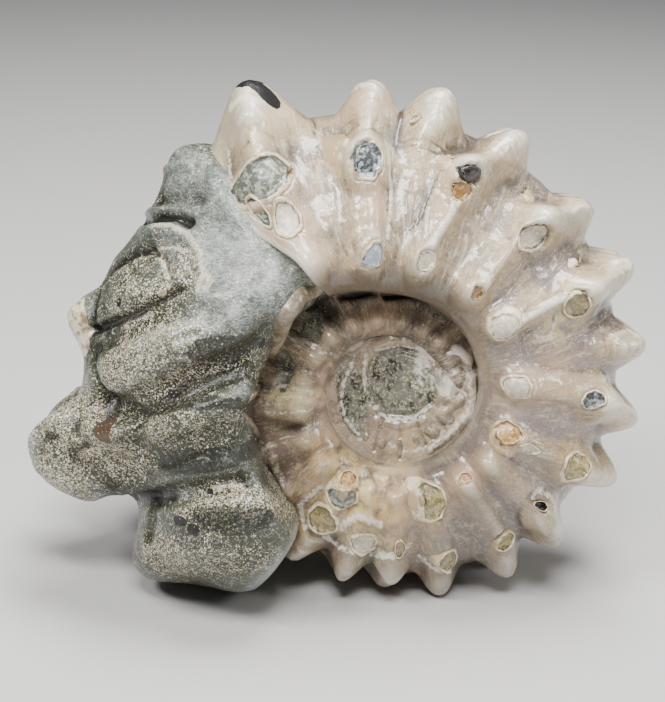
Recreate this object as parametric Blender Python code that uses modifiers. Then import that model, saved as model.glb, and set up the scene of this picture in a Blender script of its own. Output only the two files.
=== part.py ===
"""A polished ammonite fossil about 130 mm across, standing on small flats ground on its lower edge.

The shell is one coiled tube. Its venter (outer edge) keeps a constant growth rate, its section is wide and round,
and strong ribs carry rows of knobs on both flanks. The last part of the tube has lost its shell and is a cast in
green-grey stone. Everything is fused, so the fossil is one closed solid.

Coil frame: a to the right, b up in the plane of the coil, c out of it towards the viewer, with the coil centre at
its origin. The coil leans back on the ground, which is z = 0. Lengths in the lists below are millimetres.
"""

import math

import bmesh
import bpy
import numpy as np

MM = 0.001

# Pose
LEAN = math.radians(12.0)
ROLL = math.radians(1.5)
CENTRE_X = 10.8
CENTRE_Y = 0.5
CENTRE_HEIGHT = 42.8

# Growth of the tube, with angles in degrees, counted anticlockwise along the coil from the right
START_ANGLE = -600.0
SHELL_END = 124.0
CAST_END = 236.0
VENTER_RADIUS = 48.2
VENTER_GROWTH = 0.100
HALF_BREADTH = 21.0
BREADTH_GROWTH = 0.105
SEAM_RADIUS = 18.0
SEAM_GROWTH = 0.105

# The stone cast has a venter of its own, and its seam lies further out: (angle, radius)
CAST_VENTER = ((110.0, 59.5), (128.0, 62.0), (180.0, 61.5), (205.0, 57.8), (218.0, 58.8), (236.0, 54.5))
LATE_SEAM = ((0.0, 18.0), (60.0, 19.6), (95.0, 20.8), (125.0, 24.0), (158.0, 25.5), (180.0, 27.5), (236.0, 31.0))

# Section of the tube: exponents of its umbilical side and of its venter
UMBILICAL_POWER = 0.15
VENTER_POWER = 0.50
CAST_END_POWER = 0.40
CAST_BOXY_BETWEEN = (195.0, 222.0)

# Degrees before and after the shell's end over which its ribs give way to those of the cast, the share of the flank
# next to the seam that carries no relief, and how much thinner the cast is where it has lost its shell
SHELL_FADE = (1.5, 2.5)
BARE_SEAM = 0.12
CAST_THINNER = 1.2

# Rib lines on the shelled last whorl: angle at the umbilical knob, at the lateral knob and at the ventral knob,
# then how far the ventral knob stands above the venter, and the height of the lateral knob
SHELL_RIBS = (
    (121.0, 120.0, 116.5, 10.5, 4.0),
    (99.5, 96.6, 94.8, 7.0, 4.6),
    (None, None, 81.6, 7.6, 0.0),
    (78.9, 72.2, 64.5, 5.8, 4.8),
    (55.8, 50.4, 44.2, 4.0, 4.6),
    (35.9, 29.0, 28.5, 6.0, 4.4),
    (None, None, 11.1, 5.0, 0.0),
    (7.8, -1.0, -6.1, 5.0, 4.2),
    (-16.6, -21.7, -21.2, 5.6, 4.0),
    (-33.0, -38.9, -41.8, 5.0, 3.8),
    (-49.2, -53.7, -56.2, 5.0, 3.8),
    (-69.6, -73.2, -74.8, 4.4, 3.4),
    (-87.0, -89.0, -90.5, 2.0, 3.2),
    (-101.0, -103.0, -104.5, 0.9, 3.0),
)
# Ribs of the whorls further in: their spacing, how far the knobs lead the ventral one, and the knobs' heights
INNER_RIB_GAP = 15.0
INNER_RIB_STEP = 18.0
INNER_RIB_LEADS = (4.0, 1.5)
INNER_RIB_HEIGHTS = (4.6, 3.2)

# Rows of knobs, as shares of the way from the seam to the venter
UMBILICAL_ROW = 0.24
LATERAL_ROW = 0.775
LATERAL_ROW_DRIFT = -0.0005
MIDDLE_ROW = 0.86
VENTRAL_ROW = 0.955

# Height and half width of each raised feature of the shell, for a whorl whose growth is 1
RIB = (2.4, 3.1)
UMBILICAL_KNOB = (1.7, 2.9)
MIDDLE_KNOB = (1.8, 2.9)
LATERAL_KNOB_HALF_WIDTH = 4.3
VENTRAL_KNOB_HALF_WIDTH = 3.7
SHORT_RIB = (1.3, 3.4)
SHORT_RIB_LEAD = 4.0
SHORT_RIB_ROW = 0.45
# A knob taller than this also gets wider
TALL_KNOB = 6.0
TALL_KNOB_WIDENING = 0.35
# Share of a rib's height that is left in the middle of the venter, and the half width of that low strip
VENTER_RIB_SHARE = 0.45
VENTER_STRIP = 5.0
RIB_REACH = 40.0

# Ribs of the stone cast as lines in the plane of the coil: a and b of both ends, height and half width
CAST_RIBS = (
    (-24.0, 37.0, -46.0, 50.0, 2.0, 5.0),
    (-20.0, 27.0, -62.0, 14.0, 2.5, 6.0),
    (-24.0, 20.0, -57.0, 2.5, 4.0, 4.6),
    (-30.0, 4.0, -70.0, -14.0, 4.5, 5.0),
    (-22.0, -16.5, -50.0, -35.0, 3.0, 6.0),
)
# Worn knobs of the stone cast: a, b and c of the centre, height, half width
CAST_KNOBS = (
    (-44.0, 46.0, 9.0, 4.5, 6.5),
    (-51.0, 35.0, 13.0, 3.0, 5.0),
    (-56.0, 26.0, 10.0, 2.6, 5.5),
    (-52.7, 24.3, 26.0, 4.0, 8.5),
    (-62.0, 13.0, 8.0, 7.0, 5.5),
    (-60.5, -8.0, 10.0, 11.5, 6.0),
    (-58.6, -17.0, 10.0, 14.5, 6.2),
    (-46.5, -36.0, 9.0, 4.5, 7.5),
)
# A cast knob further out than this stands on the flank and rises along its normal
FLANK_KNOB_FROM = 20.0

# How a ventral knob rises: its listed height is for the tip, and it moves along the normal and outwards
TIP_SHARE = 0.82
SPREAD_NORMAL = 0.35
SPREAD_OUTWARD = 0.75

# Grid and surface
ANGLE_STEP = 1.6
SECTION_STEPS = 72
VOXEL = 1.0
FACE_TARGET = 9200
END_ROWS = 7
END_SHRINK = 0.22

# Stone in the middle of the coil: its radius, half thickness, and distance from the middle plane
STONE_RADIUS = 11.0
STONE_HALF_THICKNESS = 6.0
STONE_OFFSET = 4.0

GROUND_BLOCK = 0.3


def growth(angle):
    return np.exp(VENTER_GROWTH * np.radians(angle))


def smooth_step(x, low, high):
    t = np.clip((x - low) / (high - low), 0.0, 1.0)
    return t * t * (3.0 - 2.0 * t)


def venter_radius(angle):
    knots = np.array(CAST_VENTER)
    shell = VENTER_RADIUS * growth(angle)
    cast = np.interp(angle, knots[:, 0], knots[:, 1])
    return shell + (cast - shell) * smooth_step(angle, SHELL_END - 14.0, SHELL_END + 6.0)


def seam_radius(angle):
    knots = np.array(LATE_SEAM)
    early = SEAM_RADIUS * np.exp(SEAM_GROWTH * np.radians(np.minimum(angle, 0.0)))
    late = np.interp(angle, knots[:, 0], knots[:, 1])
    return np.where(angle < 0.0, early, late)


def half_breadth(angle):
    shell = HALF_BREADTH * np.exp(BREADTH_GROWTH * np.radians(angle))
    return shell - CAST_THINNER * smooth_step(angle, SHELL_END - 2.0, SHELL_END + 6.0)


def section_width(angle, h):
    """Share of the half breadth at a share h of the way from seam to venter. The end of the cast is boxier."""
    venter = VENTER_POWER + (CAST_END_POWER - VENTER_POWER) * smooth_step(angle, *CAST_BOXY_BETWEEN)
    peak = UMBILICAL_POWER / (UMBILICAL_POWER + venter)
    h = np.clip(h, 0.0, 1.0)
    return (h / peak) ** UMBILICAL_POWER * ((1.0 - h) / (1.0 - peak)) ** venter


def tube_points(angle, turn):
    """Points of the plain tube. turn runs once round the section, from the seam by the viewer's flank."""
    turn = np.broadcast_to(turn, angle.shape)
    h = 0.5 - 0.5 * np.cos(turn)
    side = np.sign(np.sin(turn))
    inner = seam_radius(angle)
    radius = inner + (venter_radius(angle) - inner) * h
    c = half_breadth(angle) * section_width(angle, h) * side
    t = np.radians(angle)
    return np.stack([radius * np.cos(t), radius * np.sin(t), c], axis=-1), h


def surface_normals(points):
    along = np.gradient(points, axis=0)
    around = np.roll(points, -1, axis=1) - np.roll(points, 1, axis=1)
    normal = np.cross(around, along)
    length = np.linalg.norm(normal, axis=-1, keepdims=True)
    return normal / np.maximum(length, 1e-9)


def line_distance(points, start, end):
    """Distance in the plane of the coil from each point to the line between two (a, b) places."""
    start = np.asarray(start)
    run = np.asarray(end) - start
    offset = points[..., :2] - start
    share = np.clip((offset @ run) / (run @ run), 0.0, 1.0)
    return np.linalg.norm(offset - share[..., None] * run, axis=-1)


def bump(distance, half_width):
    return np.exp(-((distance / half_width) ** 2) * 0.9)


def scaled_bump(distance, shape, size):
    height, half_width = shape
    return height * size * bump(distance, half_width * size)


def polar(radius, angle):
    return radius * math.cos(math.radians(angle)), radius * math.sin(math.radians(angle))


def flank_place(angle, h):
    """Place (a, b, c) on the plain tube at a share h of the way from seam to venter."""
    inner = float(seam_radius(np.float64(angle)))
    radius = inner + (float(venter_radius(np.float64(angle))) - inner) * h
    a, b = polar(radius, angle)
    c = float(half_breadth(np.float64(angle)) * section_width(np.float64(angle), h))
    return np.array([a, b, c])


def shell_ribs():
    """The listed ribs, then evenly spaced ones inwards, each as angles at three knobs, two heights and its size."""
    ribs = [rib + (float(growth(rib[2])),) for rib in SHELL_RIBS]
    angle = SHELL_RIBS[-1][2] - INNER_RIB_GAP
    while angle > START_ANGLE:
        size = float(growth(angle))
        umbilical, lateral = (angle + lead for lead in INNER_RIB_LEADS)
        tip, knob = (height * size for height in INNER_RIB_HEIGHTS)
        ribs.append((umbilical, lateral, angle, tip, knob, size))
        angle -= INNER_RIB_STEP
    return ribs


def add_knob(lift, points, place, height, half_width):
    """Raises a knob on both flanks."""
    for side in (1.0, -1.0):
        centre = place * np.array([1.0, 1.0, side])
        near = np.linalg.norm(points - centre, axis=-1)
        lift += height * bump(near, half_width)


def shell_relief(points, angles, h):
    """How far the shell stands above the plain tube: along its normal, and straight out from the coil's axis."""
    lift = np.zeros(h.shape)
    spread = np.zeros(h.shape)
    across = np.abs(points[..., 2])
    for umbilical, lateral, ventral, tip, knob, size in shell_ribs():
        rows = np.abs(angles - ventral) < RIB_REACH
        near = points[rows]
        centre = flank_place(ventral, VENTRAL_ROW)
        if lateral is None:
            start = flank_place(ventral + SHORT_RIB_LEAD, SHORT_RIB_ROW)
            line = scaled_bump(line_distance(near, start[:2], centre[:2]), SHORT_RIB, size)
        else:
            low = flank_place(umbilical, UMBILICAL_ROW)
            middle = flank_place(lateral, LATERAL_ROW + LATERAL_ROW_DRIFT * lateral)
            between = flank_place((lateral + ventral) / 2.0, MIDDLE_ROW)
            inner = line_distance(near, low[:2], middle[:2])
            outer = line_distance(near, middle[:2], centre[:2])
            line = scaled_bump(np.minimum(inner, outer), RIB, size)
            raised = np.zeros(near.shape[:2])
            add_knob(raised, near, low, UMBILICAL_KNOB[0] * size, UMBILICAL_KNOB[1] * size)
            add_knob(raised, near, middle, knob, LATERAL_KNOB_HALF_WIDTH * size)
            add_knob(raised, near, between, MIDDLE_KNOB[0] * size, MIDDLE_KNOB[1] * size)
            lift[rows] += raised
        flank = smooth_step(across[rows], 0.0, VENTER_STRIP * size)
        lift[rows] += line * (VENTER_RIB_SHARE + (1.0 - VENTER_RIB_SHARE) * flank)
        tall = np.zeros(near.shape[:2])
        half_width = VENTRAL_KNOB_HALF_WIDTH * size + TALL_KNOB_WIDENING * max(tip - TALL_KNOB, 0.0)
        add_knob(tall, near, centre, tip * TIP_SHARE, half_width)
        spread[rows] += tall
    return lift, spread


def cast_relief(points):
    """Ribs and worn knobs of the stone cast: along the normal, and outwards in the plane of the coil."""
    lift = np.zeros(points.shape[:2])
    spread = np.zeros(points.shape[:2])
    for a0, b0, a1, b1, height, half_width in CAST_RIBS:
        lift += height * bump(line_distance(points, (a0, b0), (a1, b1)), half_width)
    for a, b, c, height, half_width in CAST_KNOBS:
        target = lift if c > FLANK_KNOB_FROM else spread
        add_knob(target, points, np.array([a, b, c]), height, half_width)
    return lift, spread


def coiled_tube():
    """Mesh grid of the whole tube, in the coil frame and millimetres, closed at both ends."""
    count = int((CAST_END - START_ANGLE) / ANGLE_STEP) + 1
    angles = np.linspace(START_ANGLE, CAST_END, count)
    turn = np.linspace(0.0, 2.0 * math.pi, SECTION_STEPS, endpoint=False) + math.pi / SECTION_STEPS
    angle_grid = np.repeat(angles[:, None], SECTION_STEPS, axis=1)
    points, h = tube_points(angle_grid, turn[None, :])
    normal = surface_normals(points)
    if float((normal[-1] * (points[-1] - points[-1].mean(axis=0))).sum()) < 0.0:
        normal = -normal
    on_cast = smooth_step(angle_grid, SHELL_END - SHELL_FADE[0], SHELL_END + SHELL_FADE[1])
    lift, spread = shell_relief(points, angles, h)
    cast_lift, cast_spread = cast_relief(points)
    lift = lift * (1.0 - on_cast) + cast_lift * on_cast
    spread = spread * (1.0 - on_cast) + cast_spread * on_cast
    lift *= smooth_step(h, 0.0, BARE_SEAM)
    outward = points * np.array([1.0, 1.0, 0.0])
    outward /= np.linalg.norm(outward, axis=-1, keepdims=True)
    points = points + normal * (lift + SPREAD_NORMAL * spread)[..., None]
    points = points + outward * (SPREAD_OUTWARD * spread)[..., None]
    return round_end(points)


def round_end(points):
    """Draws the last rows in towards the middle of the tube, so that the broken end is rounded."""
    middle = points[-1].mean(axis=0)
    for step in range(END_ROWS):
        share = (step + 1) / END_ROWS
        shrink = 1.0 - END_SHRINK * share**3
        row = points[len(points) - END_ROWS + step]
        row[:] = middle + (row - middle) * shrink
    return points


def grid_mesh(points):
    """A closed mesh from the rows of the tube, with a fan at each end."""
    bm = bmesh.new()
    rows = [[bm.verts.new(point * MM) for point in row] for row in points]
    around = len(rows[0])
    for low, high in zip(rows, rows[1:]):
        for i in range(around):
            j = (i + 1) % around
            bm.faces.new((low[i], low[j], high[j], high[i]))
    for row in (rows[0], rows[-1]):
        tip = bm.verts.new(sum((v.co for v in row), row[0].co * 0.0) / around)
        for i in range(around):
            bm.faces.new((row[i], row[(i + 1) % around], tip))
    bmesh.ops.recalc_face_normals(bm, faces=bm.faces)
    return bm


def add_umbilical_stone(bm):
    """The stone that fills the middle of the coil on both sides."""
    for side in (1.0, -1.0):
        made = bmesh.ops.create_uvsphere(bm, u_segments=24, v_segments=12, radius=1.0)
        for vert in made["verts"]:
            vert.co.x = vert.co.x * STONE_RADIUS * MM
            vert.co.y = vert.co.y * STONE_RADIUS * MM
            vert.co.z = (vert.co.z * STONE_HALF_THICKNESS + side * STONE_OFFSET) * MM


def to_world(mesh):
    """Rolls the coil a little, leans it back and stands it on the ground."""
    for vert in mesh.vertices:
        a, b, c = vert.co
        across = a * math.cos(ROLL) - b * math.sin(ROLL)
        up = a * math.sin(ROLL) + b * math.cos(ROLL)
        vert.co.x = across + CENTRE_X * MM
        vert.co.y = up * math.sin(LEAN) - c * math.cos(LEAN) + CENTRE_Y * MM
        vert.co.z = up * math.cos(LEAN) + c * math.sin(LEAN) + CENTRE_HEIGHT * MM


def new_collection(name, hidden=False):
    collection = bpy.data.collections.new(name)
    bpy.context.scene.collection.children.link(collection)
    collection.hide_render = hidden
    return collection


def stone_and_shell_material():
    material = bpy.data.materials.new("polished_fossil")
    material.use_nodes = True
    shader = material.node_tree.nodes["Principled BSDF"]
    shader.inputs["Base Color"].default_value = (0.52, 0.45, 0.38, 1.0)
    shader.inputs["Roughness"].default_value = 0.25
    shader.inputs["Metallic"].default_value = 0.0
    return material


def ground_cutter(collection):
    """A block below z = 0, which cuts the small flats that the fossil stands on."""
    bm = bmesh.new()
    bmesh.ops.create_cube(bm, size=GROUND_BLOCK)
    bmesh.ops.translate(bm, vec=(0.0, 0.0, -0.5 * GROUND_BLOCK), verts=bm.verts)
    mesh = bpy.data.meshes.new("ground_cutter")
    bm.to_mesh(mesh)
    bm.free()
    cutter = bpy.data.objects.new("ground_cutter", mesh)
    cutter.hide_render = True
    cutter.display_type = "WIRE"
    collection.objects.link(cutter)
    return cutter


def face_count(obj):
    graph = bpy.context.evaluated_depsgraph_get()
    return len(obj.evaluated_get(graph).data.polygons)


def make_fossil(collection, cutters):
    bm = grid_mesh(coiled_tube())
    add_umbilical_stone(bm)
    mesh = bpy.data.meshes.new("ammonite_fossil")
    bm.to_mesh(mesh)
    bm.free()
    to_world(mesh)
    mesh.materials.append(stone_and_shell_material())
    fossil = bpy.data.objects.new("ammonite_fossil", mesh)
    collection.objects.link(fossil)

    union = fossil.modifiers.new("fuse whorls", "REMESH")
    union.mode = "VOXEL"
    union.voxel_size = VOXEL * MM
    faces = face_count(fossil)
    facets = fossil.modifiers.new("fewer facets", "DECIMATE")
    facets.ratio = FACE_TARGET / (2.0 * faces)
    flats = fossil.modifiers.new("ground flats", "BOOLEAN")
    flats.operation = "DIFFERENCE"
    flats.solver = "EXACT"
    flats.object = ground_cutter(cutters)
    return fossil


def shade(fossil):
    """Bakes the modifiers into the mesh, so that the finished facets can be shaded smooth."""
    graph = bpy.context.evaluated_depsgraph_get()
    finished = bpy.data.meshes.new_from_object(fossil.evaluated_get(graph))
    fossil.modifiers.clear()
    fossil.data = finished
    finished.name = "ammonite_fossil"
    finished.shade_smooth()
    finished.set_sharp_from_angle(angle=math.radians(50.0))


def main():
    for obj in list(bpy.data.objects):
        bpy.data.objects.remove(obj, do_unlink=True)
    parts = new_collection("ammonite")
    cutters = new_collection("cutters", hidden=True)
    fossil = make_fossil(parts, cutters)
    shade(fossil)


main()
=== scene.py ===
# %% [markdown]
# # A knobbed ammonite: pearly shell over a stone cast
#
# This lesson dresses a plain solid of a fossil ammonite with its real surfaces. An ammonite's shell is a tube
# that grows by the same share in every turn, so its whole form follows from a few laws. We write the laws
# once and let Geometry Nodes build the tube from them. What broke, wore and was polished later is laid over
# that tube one by one.

# %% Open the fixed model
import math

import bmesh
import bpy
import numpy as np
from mathutils import Matrix, Vector
from mathutils.bvhtree import BVHTree


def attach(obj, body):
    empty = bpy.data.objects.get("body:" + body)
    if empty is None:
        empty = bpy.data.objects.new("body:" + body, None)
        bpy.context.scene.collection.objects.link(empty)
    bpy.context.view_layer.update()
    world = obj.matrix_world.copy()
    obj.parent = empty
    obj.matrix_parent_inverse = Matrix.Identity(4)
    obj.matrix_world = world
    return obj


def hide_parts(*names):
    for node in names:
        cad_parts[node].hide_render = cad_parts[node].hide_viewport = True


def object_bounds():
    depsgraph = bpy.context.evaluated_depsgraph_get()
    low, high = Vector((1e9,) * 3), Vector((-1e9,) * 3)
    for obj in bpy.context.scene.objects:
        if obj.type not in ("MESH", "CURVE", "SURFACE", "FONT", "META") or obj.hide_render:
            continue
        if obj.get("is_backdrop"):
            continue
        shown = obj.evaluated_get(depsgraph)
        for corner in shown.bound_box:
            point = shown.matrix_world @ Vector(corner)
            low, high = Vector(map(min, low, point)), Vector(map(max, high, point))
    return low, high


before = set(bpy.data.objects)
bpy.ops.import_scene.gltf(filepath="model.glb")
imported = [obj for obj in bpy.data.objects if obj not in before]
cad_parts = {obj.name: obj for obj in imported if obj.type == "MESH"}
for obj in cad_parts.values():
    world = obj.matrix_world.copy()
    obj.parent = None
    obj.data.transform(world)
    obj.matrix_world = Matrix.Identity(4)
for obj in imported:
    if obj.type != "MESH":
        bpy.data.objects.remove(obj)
cad_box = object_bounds()
MM = 0.001
NODE = "ammonite_fossil"
print("solid from", [round(x / MM, 1) for x in cad_box[0]], "to", [round(x / MM, 1) for x in cad_box[1]])

# %% [markdown]
# ## Formulas that numbers and nodes share
#
# A node tree is easier to read as a formula than as a page of boxes. A `Field` is the output of a node with
# the usual signs of arithmetic: adding two of them adds a Math node to the tree. The same Python function
# can then work on plain numbers, when we want to know where a rib lies, and on fields, when the tree has to
# move thousands of points.

# %% Fields and a node maker
class Field:
    """An output socket that can stand in a formula."""

    def __init__(self, nodes, socket):
        self.nodes = nodes
        self.socket = socket

    def __neg__(self):
        return self * -1.0


def arithmetic(operation, turned=False):
    """What a sign of arithmetic does. It is turned where the field stands on the right of the sign."""
    def work(field, other):
        pair = (other, field) if turned else (field, other)
        return field.nodes.combine(operation, *pair)
    return work


SIGNS = {"add": "ADD", "sub": "SUBTRACT", "mul": "MULTIPLY", "truediv": "DIVIDE", "pow": "POWER"}
for sign, operation in SIGNS.items():
    setattr(Field, f"__{sign}__", arithmetic(operation))
    setattr(Field, f"__r{sign}__", arithmetic(operation, turned=True))
print("fields know", len(SIGNS), "signs of arithmetic")


class Nodes:
    """Adds nodes to a tree. Values go to a node's usable inputs in order. None leaves an input alone."""

    def __init__(self, tree):
        self.tree = tree

    def add(self, kind, *values, **settings):
        node = self.tree.nodes.new(kind)
        for name, value in settings.items():
            setattr(node, name, value)
        usable = [socket for socket in node.inputs if socket.enabled]
        for socket, value in zip(usable, values):
            self.put(socket, value)
        return node

    def put(self, socket, value):
        if isinstance(value, tuple) and any(isinstance(part, Field) for part in value):
            value = self.make("ShaderNodeCombineXYZ", *value)
        if value is None:
            return
        if isinstance(value, Field):
            self.tree.links.new(value.socket, socket)
        elif socket.type == "VECTOR" and isinstance(value, (int, float)):
            socket.default_value = (value, value, value)
        elif socket.type == "RGBA" and len(value) == 3:
            socket.default_value = (*value, 1.0)
        else:
            socket.default_value = value

    def make(self, kind, *values, output=0, **settings):
        node = self.add(kind, *values, **settings)
        usable = [socket for socket in node.outputs if socket.enabled]
        return Field(self, usable[output])

    def combine(self, operation, *values):
        vectors = [value for value in values if is_vector(value)]
        kind = "ShaderNodeVectorMath" if vectors else "ShaderNodeMath"
        return self.make(kind, *values, operation=operation)


def is_vector(value):
    return isinstance(value, tuple) or (isinstance(value, Field) and value.socket.type == "VECTOR")


# %% [markdown]
# The next functions take numbers, whole arrays or fields. The laws below are written with them.

# %% Functions for numbers and fields
def either(name, on_numbers):
    """A function that works on numbers and on fields."""
    def work(*values):
        fields = [value for value in values if isinstance(value, Field)]
        if fields:
            return fields[0].nodes.combine(name, *values)
        return on_numbers(*values)
    return work


cosine = either("COSINE", np.cos)
sine = either("SINE", np.sin)
smaller = either("MINIMUM", np.minimum)
larger = either("MAXIMUM", np.maximum)
sign_of = either("SIGN", np.sign)
size_of = either("ABSOLUTE", np.abs)


def share_between(x, low, high):
    return smaller(larger((x - low) / (high - low), 0.0), 1.0)


def eased(x, low, high):
    """0 below low, 1 above high, and an S between them."""
    t = share_between(x, low, high)
    return t * t * (3.0 - 2.0 * t)


def bent_line(x, knots):
    """A line through a few (x, y) knots, level before the first and after the last."""
    y = knots[0][1]
    for (x0, y0), (x1, y1) in zip(knots, knots[1:]):
        y = y + share_between(x, x0, x1) * (y1 - y0)
    return y


print("an eased step from 0 to 1 is at", eased(0.25, 0.0, 1.0), "after a quarter of its way")

# %% [markdown]
# ## The laws of the tube
#
# Seen from the side, the outer edge of the shell (the venter) and the seam, where a whorl rests on the one
# before, are logarithmic spirals about one centre: each radius is multiplied by the same factor in each
# turn. The section between them is a lopsided arch, steep at the umbilical wall and round at the venter,
# and one formula with two powers draws it. The cast that fills the living chamber is a little smaller,
# because its shell is gone, so it has a few knots of its own. All of these lengths are millimetres, and
# angles are degrees counted along the coil from the right. The coil's own axes are a to the right, b up in
# its plane and c towards the viewer.

# %% Growth, section and place of a point
START_ANGLE = -600.0
SHELL_END = 124.0
CAST_END = 236.0
VENTER_RADIUS = 48.2
VENTER_GROWTH = 0.100
HALF_BREADTH = 21.0
BREADTH_GROWTH = 0.105
SEAM_GROWTH = 0.105
CAST_VENTER = ((110.0, 59.5), (128.0, 62.0), (180.0, 61.5), (205.0, 57.8), (218.0, 58.8), (236.0, 54.5))
CAST_TAKES_OVER = (SHELL_END - 14.0, SHELL_END + 6.0)
LATE_SEAM = (
    (0.0, 18.0), (60.0, 19.6), (95.0, 20.8), (125.0, 24.0), (158.0, 25.5), (180.0, 27.5), (236.0, 31.0))
UMBILICAL_POWER = 0.15
VENTER_POWER = 0.50
CAST_END_POWER = 0.40
CAST_BOXY_BETWEEN = (195.0, 222.0)


def grown(size, rate, angle):
    """A length that grows by the same factor in every turn."""
    return size * math.e ** (angle * (rate * math.pi / 180.0))


def venter_radius(angle):
    shell = grown(VENTER_RADIUS, VENTER_GROWTH, angle)
    cast = bent_line(angle, CAST_VENTER)
    return shell + (cast - shell) * eased(angle, *CAST_TAKES_OVER)


def seam_radius(angle):
    early = grown(1.0, SEAM_GROWTH, smaller(angle, 0.0))
    return early * bent_line(angle, LATE_SEAM)


def half_breadth(angle):
    return grown(HALF_BREADTH, BREADTH_GROWTH, angle)


def section_width(angle, h):
    """Share of the half breadth at a share h of the way from the seam to the venter."""
    power = VENTER_POWER + (CAST_END_POWER - VENTER_POWER) * eased(angle, *CAST_BOXY_BETWEEN)
    peak = UMBILICAL_POWER / (UMBILICAL_POWER + power)
    return (h / peak) ** UMBILICAL_POWER * ((1.0 - h) / (1.0 - peak)) ** power


def tube_place(angle, h, side):
    """(a, b, c) on the plain tube. Side is 1 on the viewer's flank and -1 on the far one."""
    inner = seam_radius(angle)
    radius = inner + (venter_radius(angle) - inner) * h
    turned = angle * (math.pi / 180.0)
    width = half_breadth(angle) * section_width(angle, h)
    return radius * cosine(turned), radius * sine(turned), width * side


def flank_place(angle, h, side=1.0):
    return np.array([float(x) for x in tube_place(angle, h, side)])


for angle in (-360.0, 0.0, SHELL_END, CAST_END):
    high = float(venter_radius(angle) - seam_radius(angle))
    wide = 2.0 * float(half_breadth(angle))
    print("at", angle, "degrees the whorl is", round(high, 1), "mm high and", round(wide, 1), "mm wide")

# %% [markdown]
# ## Standing the coil on the ground
#
# The fossil stands on its edge and leans back a little, on flats that were ground on its lowest knobs. The
# same lean and roll place every piece, so they are one small function, which also works on numbers and on
# fields.

# %% Pose
LEAN = math.radians(12.0)
ROLL = math.radians(1.5)
CENTRE = (10.8, 0.5, 42.8)


def stand(a, b, c):
    """Coil millimetres to (x, y, z) millimetres above the ground."""
    across = a * math.cos(ROLL) - b * math.sin(ROLL)
    up = a * math.sin(ROLL) + b * math.cos(ROLL)
    x = across + CENTRE[0]
    y = up * math.sin(LEAN) - c * math.cos(LEAN) + CENTRE[1]
    z = up * math.cos(LEAN) + c * math.sin(LEAN) + CENTRE[2]
    return x, y, z


def stand_points(points):
    """Rows of coil millimetres to rows of metres."""
    return np.stack(stand(*np.asarray(points, float).T), axis=-1) * MM


def to_coil(points):
    """Rows of metres back to coil millimetres."""
    x, y, z = (np.asarray(points, float) / MM - CENTRE).T
    up = y * math.sin(LEAN) + z * math.cos(LEAN)
    c = z * math.sin(LEAN) - y * math.cos(LEAN)
    a = x * math.cos(ROLL) + up * math.sin(ROLL)
    b = up * math.cos(ROLL) - x * math.sin(ROLL)
    return np.stack([a, b, c], axis=-1)


print("the centre of the coil stands", CENTRE[2], "mm above the ground")

# %% [markdown]
# ## Camera
#
# The photograph looks down on the flank from a little above, so the camera comes first: later steps use it
# to find the place on the surface under a spot of the picture. Its focal length is worked out from the
# distance and from how many millimetres one picture element covers at the coil's centre.

# %% The photograph's view
PICTURE = (665, 702)
ELEVATION = math.radians(21.0)
DISTANCE = 340.0
MM_PER_PIXEL = 0.2131
COIL_CENTRE_PIXEL = (388.0, 382.0)
SENSOR = 36.0
NEAREST_SEEN = 0.01


def photo_view():
    """The camera's place in metres and its directions to the right, up and towards the viewer."""
    toward = Vector((0.0, -math.cos(ELEVATION), math.sin(ELEVATION)))
    right = (-toward).cross(Vector((0.0, 0.0, 1.0))).normalized()
    up = right.cross(-toward)
    level_right, level_up = right, up
    right = level_right * math.cos(ROLL) + level_up * math.sin(ROLL)
    up = level_up * math.cos(ROLL) - level_right * math.sin(ROLL)
    off_x = (COIL_CENTRE_PIXEL[0] - PICTURE[0] / 2.0) * MM_PER_PIXEL
    off_y = (COIL_CENTRE_PIXEL[1] - PICTURE[1] / 2.0) * MM_PER_PIXEL
    place = Vector(CENTRE) + toward * DISTANCE - right * off_x + up * off_y
    return place * MM, right, up, toward


def placed(name, data):
    """A new object in the scene."""
    thing = bpy.data.objects.new(name, data)
    bpy.context.scene.collection.objects.link(thing)
    return thing


def make_camera():
    place, right, up, toward = photo_view()
    data = bpy.data.cameras.new("photo view")
    data.sensor_fit = "HORIZONTAL"
    data.sensor_width = SENSOR
    data.lens = SENSOR * DISTANCE / (MM_PER_PIXEL * PICTURE[0])
    data.clip_start = NEAREST_SEEN
    camera = placed("camera", data)
    rows = [(right[i], up[i], toward[i], place[i]) for i in range(3)]
    camera.matrix_world = Matrix(rows + [(0.0, 0.0, 0.0, 1.0)])
    bpy.context.scene.camera = camera
    return camera


camera = make_camera()
print("focal length", round(camera.data.lens, 1), "mm")

# %% [markdown]
# ## Trees that end in a plain mesh
#
# Each tree starts from named sizes and ends in Realize Instances and Set Material. We run it once on an
# empty mesh, keep what it made as a plain mesh and take the modifier away, so nothing is left that could
# change later.

# %% Start, end and run a tree
def new_tree(name, sizes):
    """A tree with named inputs, each given as (name, socket kind, value)."""
    tree = bpy.data.node_groups.new(name, "GeometryNodeTree")
    tree.interface.new_socket("Geometry", in_out="OUTPUT", socket_type="NodeSocketGeometry")
    for label, kind, value in sizes:
        socket = tree.interface.new_socket(label, in_out="INPUT", socket_type="NodeSocket" + kind)
        if value is not None:
            socket.default_value = value
    nodes = Nodes(tree)
    entry = nodes.add("NodeGroupInput")
    return nodes, {label: Field(nodes, entry.outputs[label]) for label, kind, value in sizes}


def end_tree(nodes, geometry, material):
    geometry = nodes.make("GeometryNodeRealizeInstances", geometry)
    geometry = nodes.make("GeometryNodeSetMaterial", geometry, None, material)
    nodes.add("NodeGroupOutput", geometry)


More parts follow.
